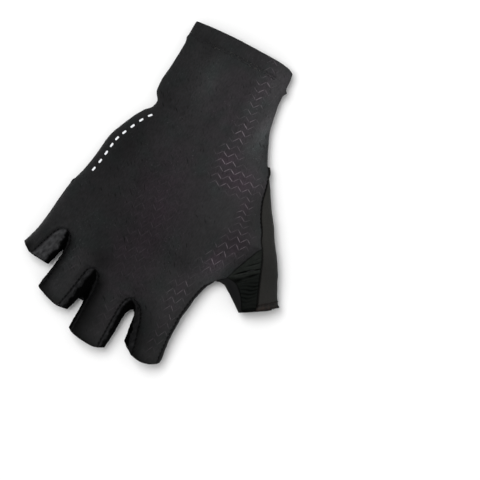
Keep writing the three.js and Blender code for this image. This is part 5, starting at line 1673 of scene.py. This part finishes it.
class GLOVE_OT_stage(PieceOperator, bpy.types.Operator):
    """Sets the pale floor, the soft lights and the camera that looks straight down"""

    bl_idname = "glove.stage"
    bl_label = "Stage"

    def execute(self, context):
        scene, look = context.scene, context.scene.glove_finish
        corners = [[x, y, 0] for x, y in ((-1, -1), (1, -1), (1, 1), (-1, 1))]
        points = CENTRE + FLOOR_HALF * np.array(corners) + [0, 0, FLOOR_LOW]
        floor = add_mesh("floor", points, np.array([[0, 1, 2], [0, 2, 3]]), points[:, :2], even_tone(points))
        coated(floor, look, "pale_floor")
        scene.world = bpy.data.worlds.new("studio")
        scene.world.use_nodes = True
        background = scene.world.node_tree.nodes["Background"].inputs
        background["Color"].default_value, background["Strength"].default_value = (1, 1, 1, 1), WORLD_STRENGTH
        for spec in LIGHTS:
            data = bpy.data.lights.new(spec["name"], "AREA")
            data.shape, (data.size, data.size_y), data.energy = "RECTANGLE", spec["size"], spec["watts"]
            rise, bearing = math.radians(spec["rise"]), math.atan2(spec["aim"][1], spec["aim"][0])
            flat = math.cos(rise)
            place = spec["far"] * np.array([flat * math.cos(bearing), flat * math.sin(bearing), math.sin(rise)])
            light = placed(scene, spec["name"], data, place, (math.pi / 2 - rise, 0, bearing + math.pi / 2))
            light.visible_glossy, light.visible_diffuse = spec["gloss"], not spec["gloss"]
        data = bpy.data.cameras.new("overhead")
        data.lens, data.sensor_width = VIEW["lens"], VIEW["sensor"]
        distance = VIEW["wide"] * MM * VIEW["lens"] / VIEW["sensor"]
        data.clip_start, data.clip_end = 0.01, distance * 4
        place = (VIEW["x"] * MM, VIEW["y"] * MM, distance)
        scene.camera = placed(scene, "overhead", data, place, (0, 0, math.radians(VIEW["turn"])))
        scene.view_settings.view_transform = "Standard"
        return self.done(floor)


PIECES = (
    GLOVE_OT_stage, GLOVE_OT_back, GLOVE_OT_palm, GLOVE_OT_side_strips, GLOVE_OT_thumb, GLOVE_OT_pads,
    GLOVE_OT_pull_tabs, GLOVE_OT_stitching, GLOVE_OT_dashes,
)


class GLOVE_PT_panel(bpy.types.Panel):
    """Sizes, colours and pieces of the glove."""

    bl_label = "Glove"
    bl_space_type = "VIEW_3D"
    bl_region_type = "UI"
    bl_category = "Glove"

    def draw(self, context):
        for group in (context.scene.glove_sizes, context.scene.glove_finish):
            box = self.layout.box()
            for key in group.__annotations__:
                box.prop(group, key)
        for piece in PIECES:
            self.layout.operator(piece.bl_idname)


CLASSES = (GloveSizes, GloveFinish, *PIECES, GLOVE_PT_panel)


def register():
    for cls in CLASSES:
        bpy.utils.register_class(cls)
    bpy.types.Scene.glove_sizes = bpy.props.PointerProperty(type=GloveSizes)
    bpy.types.Scene.glove_finish = bpy.props.PointerProperty(type=GloveFinish)


def unregister():
    del bpy.types.Scene.glove_finish
    del bpy.types.Scene.glove_sizes
    for cls in reversed(CLASSES):
        bpy.utils.unregister_class(cls)


def main():
    register()
    for piece in PIECES:
        group, name = piece.bl_idname.split(".")
        getattr(getattr(bpy.ops, group), name)()
    bpy.context.view_layer.update()


if __name__ == "__main__":
    main()
